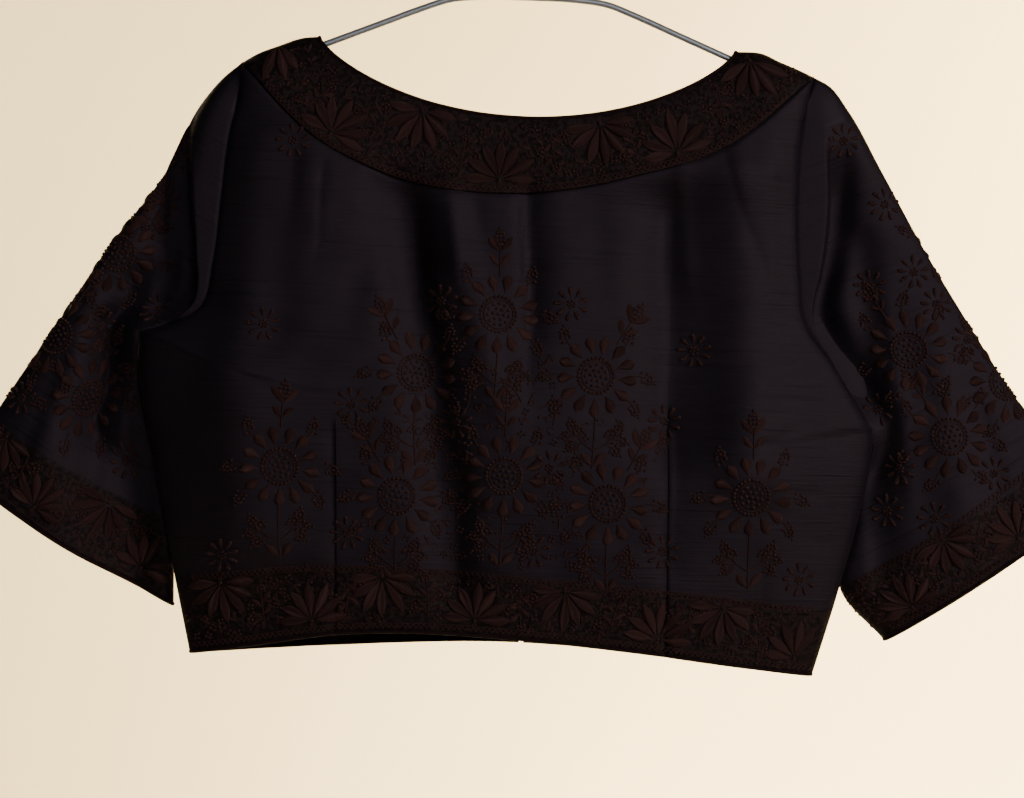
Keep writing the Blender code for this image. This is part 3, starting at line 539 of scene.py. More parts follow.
def cloth_piece(name, points, normals, uv, border, node, flip, closed_from=None):
    """A thin closed wall under the grid of outer points."""
    rows, columns = points.shape[:2]
    count = rows * columns
    vertices = np.concatenate([points.reshape(-1, 3), (points - CLOTH * normals).reshape(-1, 3)])
    faces = [quads(rows, columns), quads(rows, columns, count)[:, ::-1]]
    index = np.arange(count).reshape(rows, columns)
    open_rows = rows if closed_from is None else closed_from + 1
    for rim in (index[0, ::-1], index[-1], index[:open_rows, 0], index[:open_rows, -1][::-1]):
        faces.append(np.stack([rim[:-1], rim[1:], rim[1:] + count, rim[:-1] + count], axis=-1))
    faces = np.concatenate(faces)
    used = np.arange(2 * count)
    if closed_from is not None:
        merged = np.arange(2 * count)
        for layer in (0, count):
            merged[layer + index[closed_from:, -1]] = layer + index[closed_from:, 0]
        faces = merged[faces]
        used = np.unique(faces)
        packed = np.zeros(2 * count, dtype=int)
        packed[used] = np.arange(len(used))
        faces = packed[faces]
    if flip:
        faces = faces[:, ::-1]
    uv = np.tile(uv.reshape(-1, 2), (2, 1))[used]
    mesh = mesh_of(name, vertices[used], faces, uv, {"border": np.tile(border.reshape(-1), 2)[used]})
    return put(name, mesh, SILK, (node,))


def facing(face, normals):
    sign = -1.0 if face == "front" else 1.0
    middle = normals[normals.shape[0] // 2, normals.shape[1] // 2, 1]
    return normals if middle * sign > 0 else -normals


def body_grid(face, kind, shares, left, right, levels, full, underlap=False):
    """Outer points of a panel or band, with its places in the cloth's plane."""
    top, bottom = {
        ("front", "panel"): (BAND_FRONT, HEM["front"]),
        ("back", "panel"): (BAND_BACK, HEM["back"]),
        ("front", "band"): (NECK_FRONT, BAND_FRONT),
        ("back", "band"): (NECK_BACK, BAND_BACK),
    }[face, kind]
    across, down = planar(top, bottom, left, right, row_parts(left, right), shares)
    depth = body_depth(face, kind, across, down, levels[:, None], full[0], full[1])
    for edge in (left, right):
        if np.ptp(edge[:, 0]) > 1e-6:
            depth -= groove(across - edge[:, :1], ARMHOLE_GROOVE)
    if kind == "panel":
        depth -= groove(down - top(across), BAND_GROOVE)
        depth -= groove(down - BORDER[face](across), BORDER_GROOVE)
    else:
        depth += 0.0005 * smooth_step((bottom(across) - down) / 0.0012)
        pucker = np.sin(across * 900) * np.exp(-((bottom(across) - down) / 0.006))
        depth += 0.00012 * pucker
        if face == "front":
            depth -= pleat_depth(SHOULDER_SEAMS, across, down)
    if underlap:
        depth -= UNDERLAP_STEP * (1.0 - smooth_step((across - PLACKET_HALF - 0.001) / 0.006))
    if kind == "panel":
        room = np.minimum(across[:1] - full[0][:1], full[1][:1] - across[:1])
        tucked = smooth_step((room - 0.002) / 0.030)
        across = np.vstack([across[:1], across])
        down = np.vstack([down[:1] - 0.0004 - SEAM_ALLOWANCE * tucked, down])
        depth = np.vstack([depth[:1] - 0.0008 - 0.0012 * tucked, depth])
    points = world(across, -depth if face == "front" else depth, down)
    return points, facing(face, grid_normals(points)), across, down


def panel_levels():
    upper = (np.arange(1, 80) / 80) ** 1.15
    upper = np.concatenate([[0.0, 0.006, 0.014, 0.024], upper[upper > 0.034]])
    return np.concatenate([upper, 1.0 + close_at_ends(66, start=(0.0, 0.006), end=(0.0, 0.006))])


def dart_shares(left, right):
    """Shares of the front's columns a row, so that two run down each side of a dart."""
    close = (0.0, 0.0005, 0.0013, 0.0028, 0.005)
    half = close_at_ends(46, end=close)
    middle = close_at_ends(66, start=close, end=close)
    lots = np.concatenate([half[:-1] / 3, [1 / 3], 1 / 3 + middle[1:-1] / 3, [2 / 3], 2 / 3 + (1 - half[::-1])[1:] / 3])
    rows = []
    for row, down in enumerate(0.086 + 0.288 * row_parts(left, right)):
        knots = [left[row, 0], dart_across("left", down), dart_across("right", down), right[row, 0]]
        across = np.interp(lots, [0.0, 1 / 3, 2 / 3, 1.0], knots)
        rows.append((across - knots[0]) / (knots[-1] - knots[0]))
    return np.array(rows)


def border_share(face, across, down):
    return smooth_step((down - BORDER[face](across)) / 0.0016 + 0.5)


def build_front():
    levels = panel_levels()
    left, right = armhole_edge("left", levels), armhole_edge("right", levels)
    shares = dart_shares(left, right)
    panel = body_grid("front", "panel", shares, left, right, levels, (left[:, :1], right[:, :1]))
    cloth = cloth_piece("front_cloth", panel[0], panel[1], np.stack(panel[2:], axis=-1),
                        border_share("front", panel[2], panel[3]), "front_panel", True)
    parts = close_at_ends(26, *BAND_ENDS)
    left, right = smooth_curve(SHOULDER["left"], parts), smooth_curve(SHOULDER["right"], parts)
    shares = close_at_ends(190)[None, :]
    band = body_grid("front", "band", shares, left, right, parts - 1.0, (left[:, :1], right[:, :1]))
    strip = cloth_piece("neckband_front_cloth", band[0], band[1], np.stack(band[2:], axis=-1),
                        np.ones(band[2].shape), "neckband_front", True)
    return panel, band


def build_back():
    levels = panel_levels()
    parts = close_at_ends(26, *BAND_ENDS)
    made = {}
    for kind, rows, ends, top, bottom in (
            ("panel", levels, [armhole_edge(side, levels) for side in SIDES], BAND_BACK, HEM["back"]),
            ("band", parts - 1.0, [smooth_curve(SHOULDER[side], parts) for side in SIDES], NECK_BACK, BAND_BACK)):
        down_parts = row_parts(*ends)
        full = (ends[0][:, :1], ends[1][:, :1])
        for side in SIDES:
            edge = PLACKET_HALF if side == "left" else -PLACKET_HALF
            down = top(edge) + (bottom(edge) - top(edge)) * down_parts
            placket = np.stack([np.full_like(down, edge), down], axis=-1)
            left, right = (ends[0], placket) if side == "left" else (placket, ends[1])
            shares = close_at_ends(92)[None, :]
            grid = body_grid("back", kind, shares, left, right, rows, full, underlap=side == "right")
            if kind == "panel":
                border = border_share("back", grid[2], grid[3])
                name, node, slot = f"back_cloth_{side}", f"back_panel_{side}", "silk"
            else:
                border = np.ones(grid[2].shape)
                name, node, slot = f"neckband_back_{side}_cloth", f"neckband_back_{side}", "border_silk"
            cloth = cloth_piece(name, grid[0], grid[1], np.stack(grid[2:], axis=-1), border, node, False)
            made[kind, side] = grid
    return made


def sleeve_section(levels, share):
    """How round a sleeve is over its width: the layers meet at the under seam below the armhole."""
    closing = np.clip((levels - CLOSING_START) / (1.0 - CLOSING_START), 0.0, 1.0)
    inner_run = np.maximum(0.5 * closing, 1e-6)
    outer_run = 0.35 + 0.15 * closing
    inner_round = 1.0 - (1.0 - np.clip(share / inner_run, 0.0, 1.0)) ** 2
    inner_round = np.where(closing > 0.0, inner_round, 1.0)
    outer_round = 1.0 - np.clip((share - 1.0 + outer_run) / outer_run, 0.0, 1.0) ** 2
    return inner_round**0.5 * outer_round**0.5


def sleeve_layer(side, face, levels, inner, outer, share):
    """Places and depth of one layer below its crown, row by row from the body to the outer fold."""
    middle, half = [column[:, None] for column in table_at(SLEEVE_HANG, levels)]
    strip = table_at(STRIP[side], levels)[0][:, None]
    width = np.linalg.norm(outer - inner, axis=1)[:, None]
    rows = levels[:, None]
    share = share[None, :]
    below = np.clip(rows - 1.0, 0.0, 1.0)
    across = inner[:, :1] + share * (outer[:, :1] - inner[:, :1])
    down = inner[:, 1:] + share * (outer[:, 1:] - inner[:, 1:])
    down = down + CUFF_BOW[side] * np.sin(math.pi * share) * below
    shape = sleeve_section(rows, share)
    setback = UNDER_SETBACK * smooth_step(below / UNDER_SETBACK_RUN)
    near_tube = smooth_step((rows - 0.84) / 0.16)
    lean = setback + (middle - setback) * smooth_step(share * 2.0)
    lean = (1.0 - near_tube) * middle + near_tube * lean
    distance = share * width
    swell = slack(across, down, 5.1 if side == "left" else 1.3) * shape
    behind = lean + half * shape + swell - 0.5 * fold_depth(SLEEVE_FOLDS[side], across - 0.012, down) * shape
    if face == "front":
        hang = lean - half * shape + fold_depth(SLEEVE_FOLDS[side], across, down) * shape + swell
        strip = np.maximum(strip, 0.0)
        step = STRIP_STEP[side] * (1.0 - 0.72 * smooth_step((rows - 0.48) / 0.20))
        keep = 1.0 - smooth_step((distance - strip) / step)
        reach, spread, hollow_depth = HOLLOW[side]
        hollow = np.exp(-(((distance - strip - reach) / spread) ** 2))
        hang += hollow_depth * hollow * shape * smooth_step(rows / 0.3) * (1.0 - smooth_step((rows - 1.0) / 0.5))
        # The layers keep apart, with a soft passage where a fold would meet the one behind
        room = behind - LAYER_GAP * shape - hang
        hang = behind - LAYER_GAP * shape - 0.5 * (room + np.sqrt(room**2 + 0.0025**2 * shape))
        keep = 1.0 - (1.0 - keep) * smooth_step((rows - BELOW_CROWN) / 0.22)
    else:
        hang = behind
        keep = 1.0 - smooth_step(distance / BACK_BLEND)
    toward = -1.0 if face == "front" else 1.0
    keep = keep * (1.0 - share**4) * (1.0 - near_tube)
    seam_depth = toward * (armhole_depth(rows) + SOLID_GAP / 2)
    depth = keep * seam_depth + (1.0 - keep) * hang
    on_seam = np.exp(-((distance / SLEEVE_GROOVE[1]) ** 2)) * (1.0 - near_tube)
    return across, depth - toward * SLEEVE_GROOVE[0] * on_seam, down


def build_sleeve(side):
    upper = np.linspace(BELOW_CROWN, 1.0, 72)[:-1]
    below = 1.0 + close_at_ends(62, start=(0.0,), end=(0.0, 0.01))
    levels = np.concatenate([upper, below])
    on_seam = (levels <= 1.0)[:, None]
    clipped, beyond = np.clip(levels, 0.0, 1.0), np.clip(levels - 1.0, 0.0, 1.0)
    inner = np.where(on_seam, armhole_edge(side, clipped), smooth_curve(SLEEVE_UNDER[side], beyond))
    outer = np.where(on_seam, smooth_curve(SLEEVE_TOP[side], clipped), smooth_curve(SLEEVE_OUTSIDE[side], beyond))
    part = np.linspace(0.0, 1.0, CROWN_ROWS + 1)[:-1, None]
    top = smooth_curve(SLEEVE_TOP[side], part[:, 0] * BELOW_CROWN)
    bulge = top - (top[:1] * (1 - part) + smooth_curve(SLEEVE_TOP[side], [BELOW_CROWN]) * part)
    layers = []
    for face, count, toward in (("front", FRONT_COLUMNS, -1.0), ("back", BACK_COLUMNS, 1.0)):
        share = (1.0 - np.cos(math.pi * np.arange(count + 1) / count)) / 2
        rows = sleeve_layer(side, face, levels, inner, outer, share)
        level = CROWN_LEVEL * (1.0 - share)
        seam = armhole_edge(side, level)
        crown = (seam[:, 0], toward * armhole_depth(level), seam[:, 1])
        grid = [np.vstack([first * (1 - part) + rest[0] * part, rest]) for first, rest in zip(crown, rows)]
        for axis, column in ((0, 0), (2, 1)):
            grid[axis][:CROWN_ROWS] += bulge[:, column:column + 1] * share[None, :] ** 1.5
        points = world(*grid)
        layers.append(points if face == "front" else points[:, -2::-1])
    points = np.hstack(layers)
    closed_from = CROWN_ROWS + int(np.count_nonzero(levels < 1.0))
    points[closed_from:, -1] = points[closed_from:, 0]
    normals = grid_normals(points, closed_from)
    if side == "right":
        normals = -normals
    step = np.linalg.norm(np.diff(points, axis=1), axis=2)
    arc = np.concatenate([np.zeros((len(points), 1)), np.cumsum(step, axis=1)], axis=1)
    arc -= arc[:, FRONT_COLUMNS:FRONT_COLUMNS + 1]
    drop = np.concatenate([np.zeros(CROWN_ROWS + 1), np.cumsum(np.linalg.norm(np.diff(outer, axis=0), axis=1))])
    height = np.concatenate([np.zeros(CROWN_ROWS), levels])
    cuff = smooth_step((height - (2.0 - CUFF_SHARE)) / 0.012 + 0.5)
    uv = np.stack([arc, np.broadcast_to(drop[:, None], arc.shape)], axis=-1)
    cloth = cloth_piece(f"sleeve_{side}_cloth", points, normals, uv, np.broadcast_to(cuff[:, None], arc.shape),
                        f"sleeve_{side}", side == "right", closed_from)
    return {"points": points, "normals": normals, "arc": arc, "inner": inner, "outer": outer,
            "closed_from": closed_from}


class Relief:
    """The outer side of the body's cloth, as depth over across and down."""

    STEP = 0.0015
    MARGIN = 0.012

    def __init__(self, grids, toward):
        vertices, faces = [], []
        for grid in grids:
            faces += quads(*grid.shape[:2], start=len(vertices)).tolist()
            vertices += grid.reshape(-1, 3).tolist()
        tree = BVHTree.FromPolygons(vertices, faces)
        box = np.array(vertices)
        low, high = box.min(0) - self.MARGIN, box.max(0) + self.MARGIN
        self.toward = toward
        self.low = low
        self.across = np.arange(low[0], high[0], self.STEP)
        self.height = np.arange(low[2], high[2], self.STEP)
        depth = np.full((len(self.across), len(self.height)), np.nan)
        for i, x in enumerate(self.across):
            for k, z in enumerate(self.height):
                hit = tree.ray_cast(Vector((x, toward * 0.2, z)), Vector((0.0, -toward, 0.0)))
                if hit[0] is not None:
                    depth[i, k] = hit[0][1]
        self.known = ~np.isnan(depth)
        for _ in range(14):
            missing = np.isnan(depth)
            padded = np.pad(depth, 1, constant_values=np.nan)
            near = np.stack([padded[:-2, 1:-1], padded[2:, 1:-1], padded[1:-1, :-2], padded[1:-1, 2:]])
            known = ~np.isnan(near)
            total = np.where(known, near, 0.0).sum(0)
            count = known.sum(0)
            depth = np.where(missing & (count > 0), total / np.maximum(count, 1), depth)
        self.depth = np.nan_to_num(depth)

    def holds(self, across, down):
        i = np.clip(np.rint((across - self.across[0]) / self.STEP), 0, len(self.across) - 1).astype(int)
        k = np.clip(np.rint((NECK_POINT_Z - down - self.height[0]) / self.STEP), 0, len(self.height) - 1).astype(int)
        return self.known[i, k]

    def sample(self, across, height):
        x = np.clip((across - self.across[0]) / self.STEP, 0, len(self.across) - 1.001)
        z = np.clip((height - self.height[0]) / self.STEP, 0, len(self.height) - 1.001)
        i, k = x.astype(int), z.astype(int)
        s, t = x - i, z - k
        d = self.depth
        return ((1 - s) * (1 - t) * d[i, k] + s * (1 - t) * d[i + 1, k]
                + (1 - s) * t * d[i, k + 1] + s * t * d[i + 1, k + 1])

    def place(self, across, down, lift):
        height = NECK_POINT_Z - down
        step = 0.0012
        slope_x = (self.sample(across + step, height) - self.sample(across - step, height)) / (2 * step)
        slope_z = (self.sample(across, height + step) - self.sample(across, height - step)) / (2 * step)
        slope_x, slope_z = np.clip(slope_x, -2.5, 2.5), np.clip(slope_z, -2.5, 2.5)
        normal = np.stack([-slope_x, np.ones_like(slope_x), -slope_z], axis=-1) * self.toward
        normal /= np.linalg.norm(normal, axis=-1, keepdims=True)
        point = np.stack([across, self.sample(across, height), height], axis=-1)
        return point + lift[..., None] * normal


class SleeveRelief:
    """The outer side of a sleeve, followed round its outer fold by arc length."""

    STEP = 0.0015
    LOT = 20000

    def __init__(self, sleeve, back):
        self.back = back
        arc, points, normals = [sleeve[key][CROWN_ROWS:] for key in ("arc", "points", "normals")]
        self.outer = sleeve["outer"]
        closed = (np.arange(len(arc)) + CROWN_ROWS >= sleeve["closed_from"])[:, None]
        seam = np.where(closed, 0.0, np.array([[0.0035, -0.0035]]))
        self.reach = np.stack([arc[:, 0], arc[:, -1]], axis=-1) + seam
        reach = max(-arc.min(), arc.max()) + 0.01
        self.ticks = np.arange(-reach, reach, self.STEP)
        rows = []
        for a, p, n in zip(arc, points, normals):
            rows.append(np.stack([np.interp(self.ticks, a, values[:, axis]) for values in (p, n) for axis in range(3)],
                                 axis=-1))
        self.table = np.array(rows)
        run = self.outer - sleeve["inner"]
        self.run = run / np.linalg.norm(run, axis=1, keepdims=True)

    def holds(self, across, down):
        inside = []
        for point in self.parts(across, down):
            row, _, arc, found = self.located(point)
            inside.append(found & (arc > self.reach[row, 0]) & (arc < self.reach[row, 1]))
        return np.concatenate(inside)

    def parts(self, across, down):
        """The places in lots that fit into memory."""
        point = np.stack([across, down], axis=-1)
        return [point[start:start + self.LOT] for start in range(0, len(point), self.LOT)]

    def place(self, across, down, lift):
        mixed = np.concatenate([self.placed(point) for point in self.parts(across, down)])
        normal = mixed[:, 3:] / np.maximum(np.linalg.norm(mixed[:, 3:], axis=1, keepdims=True), 1e-9)
        return mixed[:, :3] + lift[:, None] * normal

    def located(self, point):
        """The row, the share of the way to the next and the arc from the outer fold of each place."""
        off = point[None] - self.outer[:, None]
        side = off[..., 0] * self.run[:, None, 1] - off[..., 1] * self.run[:, None, 0]
        along = off[..., 0] * self.run[:, None, 0] + off[..., 1] * self.run[:, None, 1]
        change = side[:-1] * side[1:] <= 0.0
        cost = np.where(change, np.abs(along[:-1]), 1e3)
        row = np.argmin(cost, axis=0)
        nearest = np.argmin(np.abs(side), axis=0)
        found = cost[row, np.arange(len(point))] < 1e2
        row = np.where(found, row, np.clip(nearest, 0, len(self.outer) - 2))
        pick = np.arange(len(point))
        before, after = side[row, pick], side[row + 1, pick]
        part = np.where(found, before / np.where(np.abs(before - after) < 1e-9, 1e-9, before - after), 0.0)
        part = np.clip(part, 0.0, 1.0)
        arc = (1 - part) * along[row, pick] + part * along[row + 1, pick]
        return row, part, -arc if self.back else arc, found

    def placed(self, point):
        """The point and the way out of the cloth at each place."""
        row, part, arc, _ = self.located(point)
        tick = np.clip((arc - self.ticks[0]) / self.STEP, 0, len(self.ticks) - 1.001)
        k = tick.astype(int)
        t = (tick - k)[:, None]
        part = part[:, None]
        return ((1 - part) * ((1 - t) * self.table[row, k] + t * self.table[row, k + 1])
                + part * ((1 - t) * self.table[row + 1, k] + t * self.table[row + 1, k + 1]))


class Needlework:
    """Raised embroidery, laid out in the cloth's plane: x across, y up."""

    def __init__(self, seed):
        self.vertices, self.faces, self.uv, self.tone, self.sizes = [], [], [], [], []
        self.count = 0
        self.chance = np.random.RandomState(seed)

    def add(self, x, y, lift, faces, uv, tone):
        self.vertices.append(np.stack([x.ravel(), y.ravel(), lift.ravel()], axis=-1))
        self.uv.append(uv.reshape(-1, 2))
        for part in faces:
            self.faces += (part + self.count).tolist()
        self.tone.append(np.full(x.size, tone))
        self.sizes.append((x.size, sum(map(len, faces))))
        self.count += x.size

    def petal(self, x, y, turn, length, width, height=0.0009, vein=False, full=1.35):
        """A padded leaf or petal from its foot, in slanted satin stitches."""
        turn += self.chance.uniform(-0.05, 0.05)
        length *= self.chance.uniform(0.93, 1.07)
        along = np.linspace(0.0, 1.0, 9)[:, None]
        side = np.array([-1.0, -0.82, -0.45, 0.0, 0.45, 0.82, 1.0])[None, :]
        outline = np.sin(math.pi * np.clip(along, 0.012, 0.988) ** full) ** 0.85
        half = 0.5 * width * outline
        lift = height * np.sqrt(np.clip(1.0 - side**2, 0.0, 1.0)) * outline**0.5 - 0.0002
        if vein:
            lift = lift * (1.0 - 0.5 * np.exp(-((side / 0.3) ** 2)))
        u = along * length + 0.0 * side
        v = half * side
        bend = 0.10 * width * np.sin(math.pi * along) * self.chance.uniform(-1, 1)
        v = v + bend
        c, s = math.cos(turn), math.sin(turn)
        slant = u + (np.abs(v - bend) if vein else (v - bend)) * (1.1 if vein else 0.5)
        uv = np.stack([slant, v], axis=-1) / STITCH_WIDTH
        tone = self.chance.uniform(0.0, 1.0)
        self.add(x + u * c - v * s, y + u * s + v * c, lift, (quads(9, 7),), uv, tone)

    def dot(self, x, y, radius):
        """A knot: two rings of seven points and one on top."""
        turns = np.append(np.tile(np.arange(7) * 2 * math.pi / 7, 2), 0.0)
        reach = np.repeat([1.0, 0.66, 0.0], [7, 7, 1]) * radius
        height = radius * 0.95
        lift = np.repeat([-0.0002, 0.72 * height, height], [7, 7, 1])
        ring = np.arange(7)
        ahead = (ring + 1) % 7
        wall = np.stack([ring, ahead, ahead + 7, ring + 7], axis=-1)
        cap = np.stack([ring + 7, ahead + 7, np.full(7, 14)], axis=-1)
        x, y = x + reach * np.cos(turns), y + reach * np.sin(turns)
        self.add(x, y, lift, (wall, cap), np.stack([x, y], axis=-1) / 0.0006, self.chance.uniform(0.2, 1.0))

    def stem(self, line, radius=0.00042, closed=False, tone=None):
        """A laid cord along a line of points."""
        line = np.asarray(line, dtype=float)
        if closed:
            line = np.vstack([line, line[:1]])
        run = np.gradient(line, axis=0)
        run /= np.maximum(np.linalg.norm(run, axis=1, keepdims=True), 1e-9)
        if closed:
            run[0] = run[-1] = run[0] + run[-1]
            run[0] /= np.linalg.norm(run[0])
            run[-1] = run[0]
        side = np.stack([-run[:, 1], run[:, 0]], axis=-1)
        turns = np.radians([0.0, 40.0, 90.0, 140.0, 180.0])
        x = line[:, :1] + side[:, :1] * radius * np.cos(turns)
        y = line[:, 1:] + side[:, 1:] * radius * np.cos(turns)
        lift = radius * 1.6 * np.sin(turns)[None, :] + 0.0 * x - 0.0001
        length = np.concatenate([[0.0], np.cumsum(np.linalg.norm(np.diff(line, axis=0), axis=1))])
        uv = np.stack([length[:, None] / 0.0007 + 0.5 * np.cos(turns), np.cos(turns) + 0.0 * x], axis=-1)
        tone = self.chance.uniform(0.1, 0.7) if tone is None else tone
        self.add(x, y, lift, (quads(len(line), 5),), uv, tone)

    def curve(self, x, y, turn, length, bend, radius=0.00042, steps=7):
        """A curved stem; gives its points and the way it points at its end."""
        parts = np.linspace(0.0, 1.0, steps)
        turns = turn + bend * parts
        step = length / (steps - 1)
        line = [(x, y)]
        for at in turns[:-1]:
            line.append(polar(*line[-1], step, at))
        self.stem(line, radius)
        return line, turns[-1]

    def cluster(self, x, y, turn, size=0.0036):
        """A little bunch of knots at the end of a stem."""
        self.dot(x, y, 0.0013)
        for number in range(6):
            at = turn - 2.0 + number * 0.8
            self.dot(*polar(x, y, size * 0.72, at), 0.00115)
        self.dot(*polar(x, y, size * 1.3, turn), 0.00105)

    def branch(self, x, y, turn, length, bend):
        line, end = self.curve(x, y, turn, length, bend)
        self.cluster(*polar(*line[-1], 0.0012, end), end)
        for number, side in ((2, 1), (3, -1), (4, 1)):
            px, py = line[number]
            at = turn + bend * number / 6 + side * 1.0
            self.stem([(px, py), polar(px, py, 0.0024, at)], 0.0003)
            self.dot(*polar(px, py, 0.0034, at), 0.00115)

    def bud(self, x, y, turn, length=0.034):
        """A spray: stem, a pair of leaves and a bud of knots."""
        line, end = self.curve(x, y, turn, length * 0.50, self.chance.uniform(-0.12, 0.12), 0.0005)
        for px, py, share in ((*line[-2], 1.0), (*line[2], 0.8)):
            for side in (1, -1):
                self.petal(px, py, end + side * 0.66, share * length * 0.36, share * length * 0.145, 0.0009)
        c, s = math.cos(end), math.sin(end)
        px, py = line[-1]
        for row, half in enumerate((0.8, 1.5, 1.6, 1.1, 0.3)):
            u = 0.0016 + row * 0.0026
            for v in ((-half, 0.0, half) if half > 0.5 else (0.0,)):
                v *= 0.00155
                self.dot(px + u * c - v * s, py + u * s + v * c, 0.0013)

    def flower(self, x, y, r=0.024, turn=0.0):
        """An open flower with padded petals, a double ring and a centre of knots."""
        petals = 13
        for number in range(petals):
            at = turn + number * 2 * math.pi / petals
            foot = 0.53 * r
            self.petal(*polar(x, y, foot, at), at, 0.56 * r, 0.30 * r, 0.0015, full=1.85)
        around = np.linspace(0.0, 2 * math.pi, 37)[:-1]
        ring = np.stack([x + 0.39 * r * np.cos(around), y + 0.39 * r * np.sin(around)], axis=-1)
        self.stem(ring, 0.00045, closed=True)
        for count, share, radius in ((27, 0.475, 0.0013), (11, 0.29, 0.0013), (6, 0.15, 0.0013), (1, 0.0, 0.0014)):
            for number in range(count):
                at = turn + number * 2 * math.pi / count + share
                self.dot(*polar(x, y, share * r, at), radius)

    def rosette(self, x, y, r=0.0105, turn=0.3):
        for number in range(9):
            at = turn + number * 2 * math.pi / 9
            self.petal(*polar(x, y, 0.30 * r, at), at, 0.66 * r, 0.27 * r,
                       0.0012, full=2.2)
            self.dot(*polar(x, y, 0.90 * r, at), 0.0014)
        for number in range(6):
            at = turn + number * 2 * math.pi / 6
            self.dot(*polar(x, y, 0.20 * r, at), 0.0011)
        self.dot(x, y, 0.0011)

    def vine(self, x, y, turn, length=0.030):
        """A stem with two leaves at its foot, and boughs of knots that rise from it."""
        line, end = self.curve(x, y, turn, length, self.chance.uniform(-0.2, 0.2), 0.0005)
        back = end + math.pi
        for side in (1, -1):
            self.petal(*line[-1], back + side * 0.66, length * 0.36, length * 0.16, 0.0012, full=1.7)
            bough, tip = self.curve(*line[4], back + side * 1.12, length * 0.62, -side * 0.75, 0.0005, 9)
            self.cluster(*bough[-1], tip)
            self.branch(*bough[3], back + side * 1.75, length * 0.20, side * 0.5)
            self.branch(*bough[5], back + side * 1.45, length * 0.17, side * 0.4)
            self.branch(*bough[4], back + side * 0.10, length * 0.13, side * 0.4)

    def spray(self, x, y, r=0.0235, turn=math.pi / 2, foot=0.034, lean=0.0):
        """A flower with a bud above, short branches round it and a vine below."""
        self.flower(x, y, r, turn + math.pi / 14)
        c = 1.02 * r
        self.bud(x + c * math.cos(turn + lean), y + c * math.sin(turn + lean), turn + lean, 0.036)
        for at, bend in ((0.75, -0.6), (-0.75, 0.6), (1.55, 0.5), (-1.55, -0.5), (2.2, 0.5), (-2.2, -0.5)):
            at += turn
            self.branch(*polar(x, y, c, at), at, 0.0085, bend)
        at = turn + math.pi
        self.vine(*polar(x, y, c, at), at, foot)

    def fan(self, x, y, turn, r=0.024, leaves=7, spread=3.05):
        """A palmette of padded, veined leaves from one foot."""
        for number in range(leaves):
            part = number / (leaves - 1) - 0.5
            at = turn + spread * part
            length = r * (1.0 - 0.16 * abs(2 * part) ** 1.5)
            foot = 0.10 * r
            self.petal(*polar(x, y, foot, at), at, length, 0.30 * r, 0.0022,
                       vein=True, full=1.25)
        for side in (-0.35, 0.0, 0.35):
            at = turn + math.pi + side
            self.stem([(x, y), polar(x, y, 0.16 * r, at)], 0.0005)
        self.dot(x, y, 0.0013)

    def twig(self, x, y, turn, length=0.026):
        """Filling between the fans: a forked stem with small leaves, tendrils and knots."""
        line, end = self.curve(x, y, turn, length, self.chance.uniform(-0.5, 0.5))
        for number, side in ((1, 1), (2, -1), (3, 1), (4, -1)):
            px, py = line[number]
            self.petal(px, py, turn + side * 0.8, length * 0.34, length * 0.14, 0.0009)
        self.cluster(line[-1][0], line[-1][1], end, 0.0032)
        for number, side in ((2, 1), (4, -1)):
            self.branch(*line[number], turn + side * 1.5, length * 0.30, side * 0.8)

    def zigzag(self, line, reach=0.0014, pitch=0.0034):
        """A braid stitched along a line: two cords and a zigzag between them."""
        line = np.asarray(line, dtype=float)
        length = np.concatenate([[0.0], np.cumsum(np.linalg.norm(np.diff(line, axis=0), axis=1))])
        ticks = np.arange(0.0, length[-1], pitch / 2)
        point = np.stack([np.interp(ticks, length, line[:, axis]) for axis in (0, 1)], axis=-1)
        run = np.gradient(point, axis=0)
        run /= np.linalg.norm(run, axis=1, keepdims=True)
        side = np.stack([-run[:, 1], run[:, 0]], axis=-1)
        swing = np.where(np.arange(len(ticks)) % 2 == 0, 1.0, -1.0)[:, None]
        self.stem(point + side * swing * reach * 0.85, 0.00058, tone=1.6)
        for way in (1, -1):
            self.stem(point + way * side * reach * 1.25, 0.00030, tone=0.6)

    def fill(self, inside, box, spacing=0.0056, clear=0.0020):
        """Small leaves, curls and knots in the room that is left."""
        cell = 0.0005
        low = np.array([box[0], box[1]])
        taken = np.zeros((int((box[2] - box[0]) / cell) + 2, int((box[3] - box[1]) / cell) + 2), dtype=bool)
        reach = int(clear / cell)

        def mark(start):
            if start >= len(self.vertices):
                return
            flat = np.concatenate(self.vertices[start:])[:, :2]
            spots = ((flat - low) / cell).astype(int)
            fits = np.all((spots >= 0) & (spots < taken.shape), axis=1)
            taken[spots[fits, 0], spots[fits, 1]] = True

        mark(0)
        for y in np.arange(box[1], box[3], spacing):
            for x in np.arange(box[0], box[2], spacing):
                px, py = x + self.chance.uniform(-0.4, 0.4) * spacing, y + self.chance.uniform(-0.4, 0.4) * spacing
                kind, turn = self.chance.randint(4), self.chance.uniform(0, 2 * math.pi)
                i, k = int((px - box[0]) / cell), int((py - box[1]) / cell)
                if not inside(px, py) or taken[max(i - reach, 0):i + reach, max(k - reach, 0):k + reach].any():
                    continue
                start = len(self.vertices)
                if kind == 0:
                    self.petal(px, py, turn, 0.0058, 0.0024, 0.0007)
                    self.petal(px, py, turn + 1.1, 0.0044, 0.0020, 0.0007)
                    self.dot(px, py, 0.0009)
                elif kind == 1:
                    for number in range(4):
                        at = turn + number * 1.5
                        self.dot(*polar(px, py, 0.0017, at), 0.0010)
                elif kind == 2:
                    line, _ = self.curve(px, py, turn, 0.0085, 4.4, 0.00036, 9)
                    self.dot(*line[-1], 0.0010)
                else:
                    line, _ = self.curve(px, py, turn, 0.0070, 1.2, 0.00036, 5)
                    self.dot(*line[-1], 0.0011)
                    self.dot(line[2][0] + 0.0012, line[2][1] + 0.0008, 0.0009)
                mark(start)

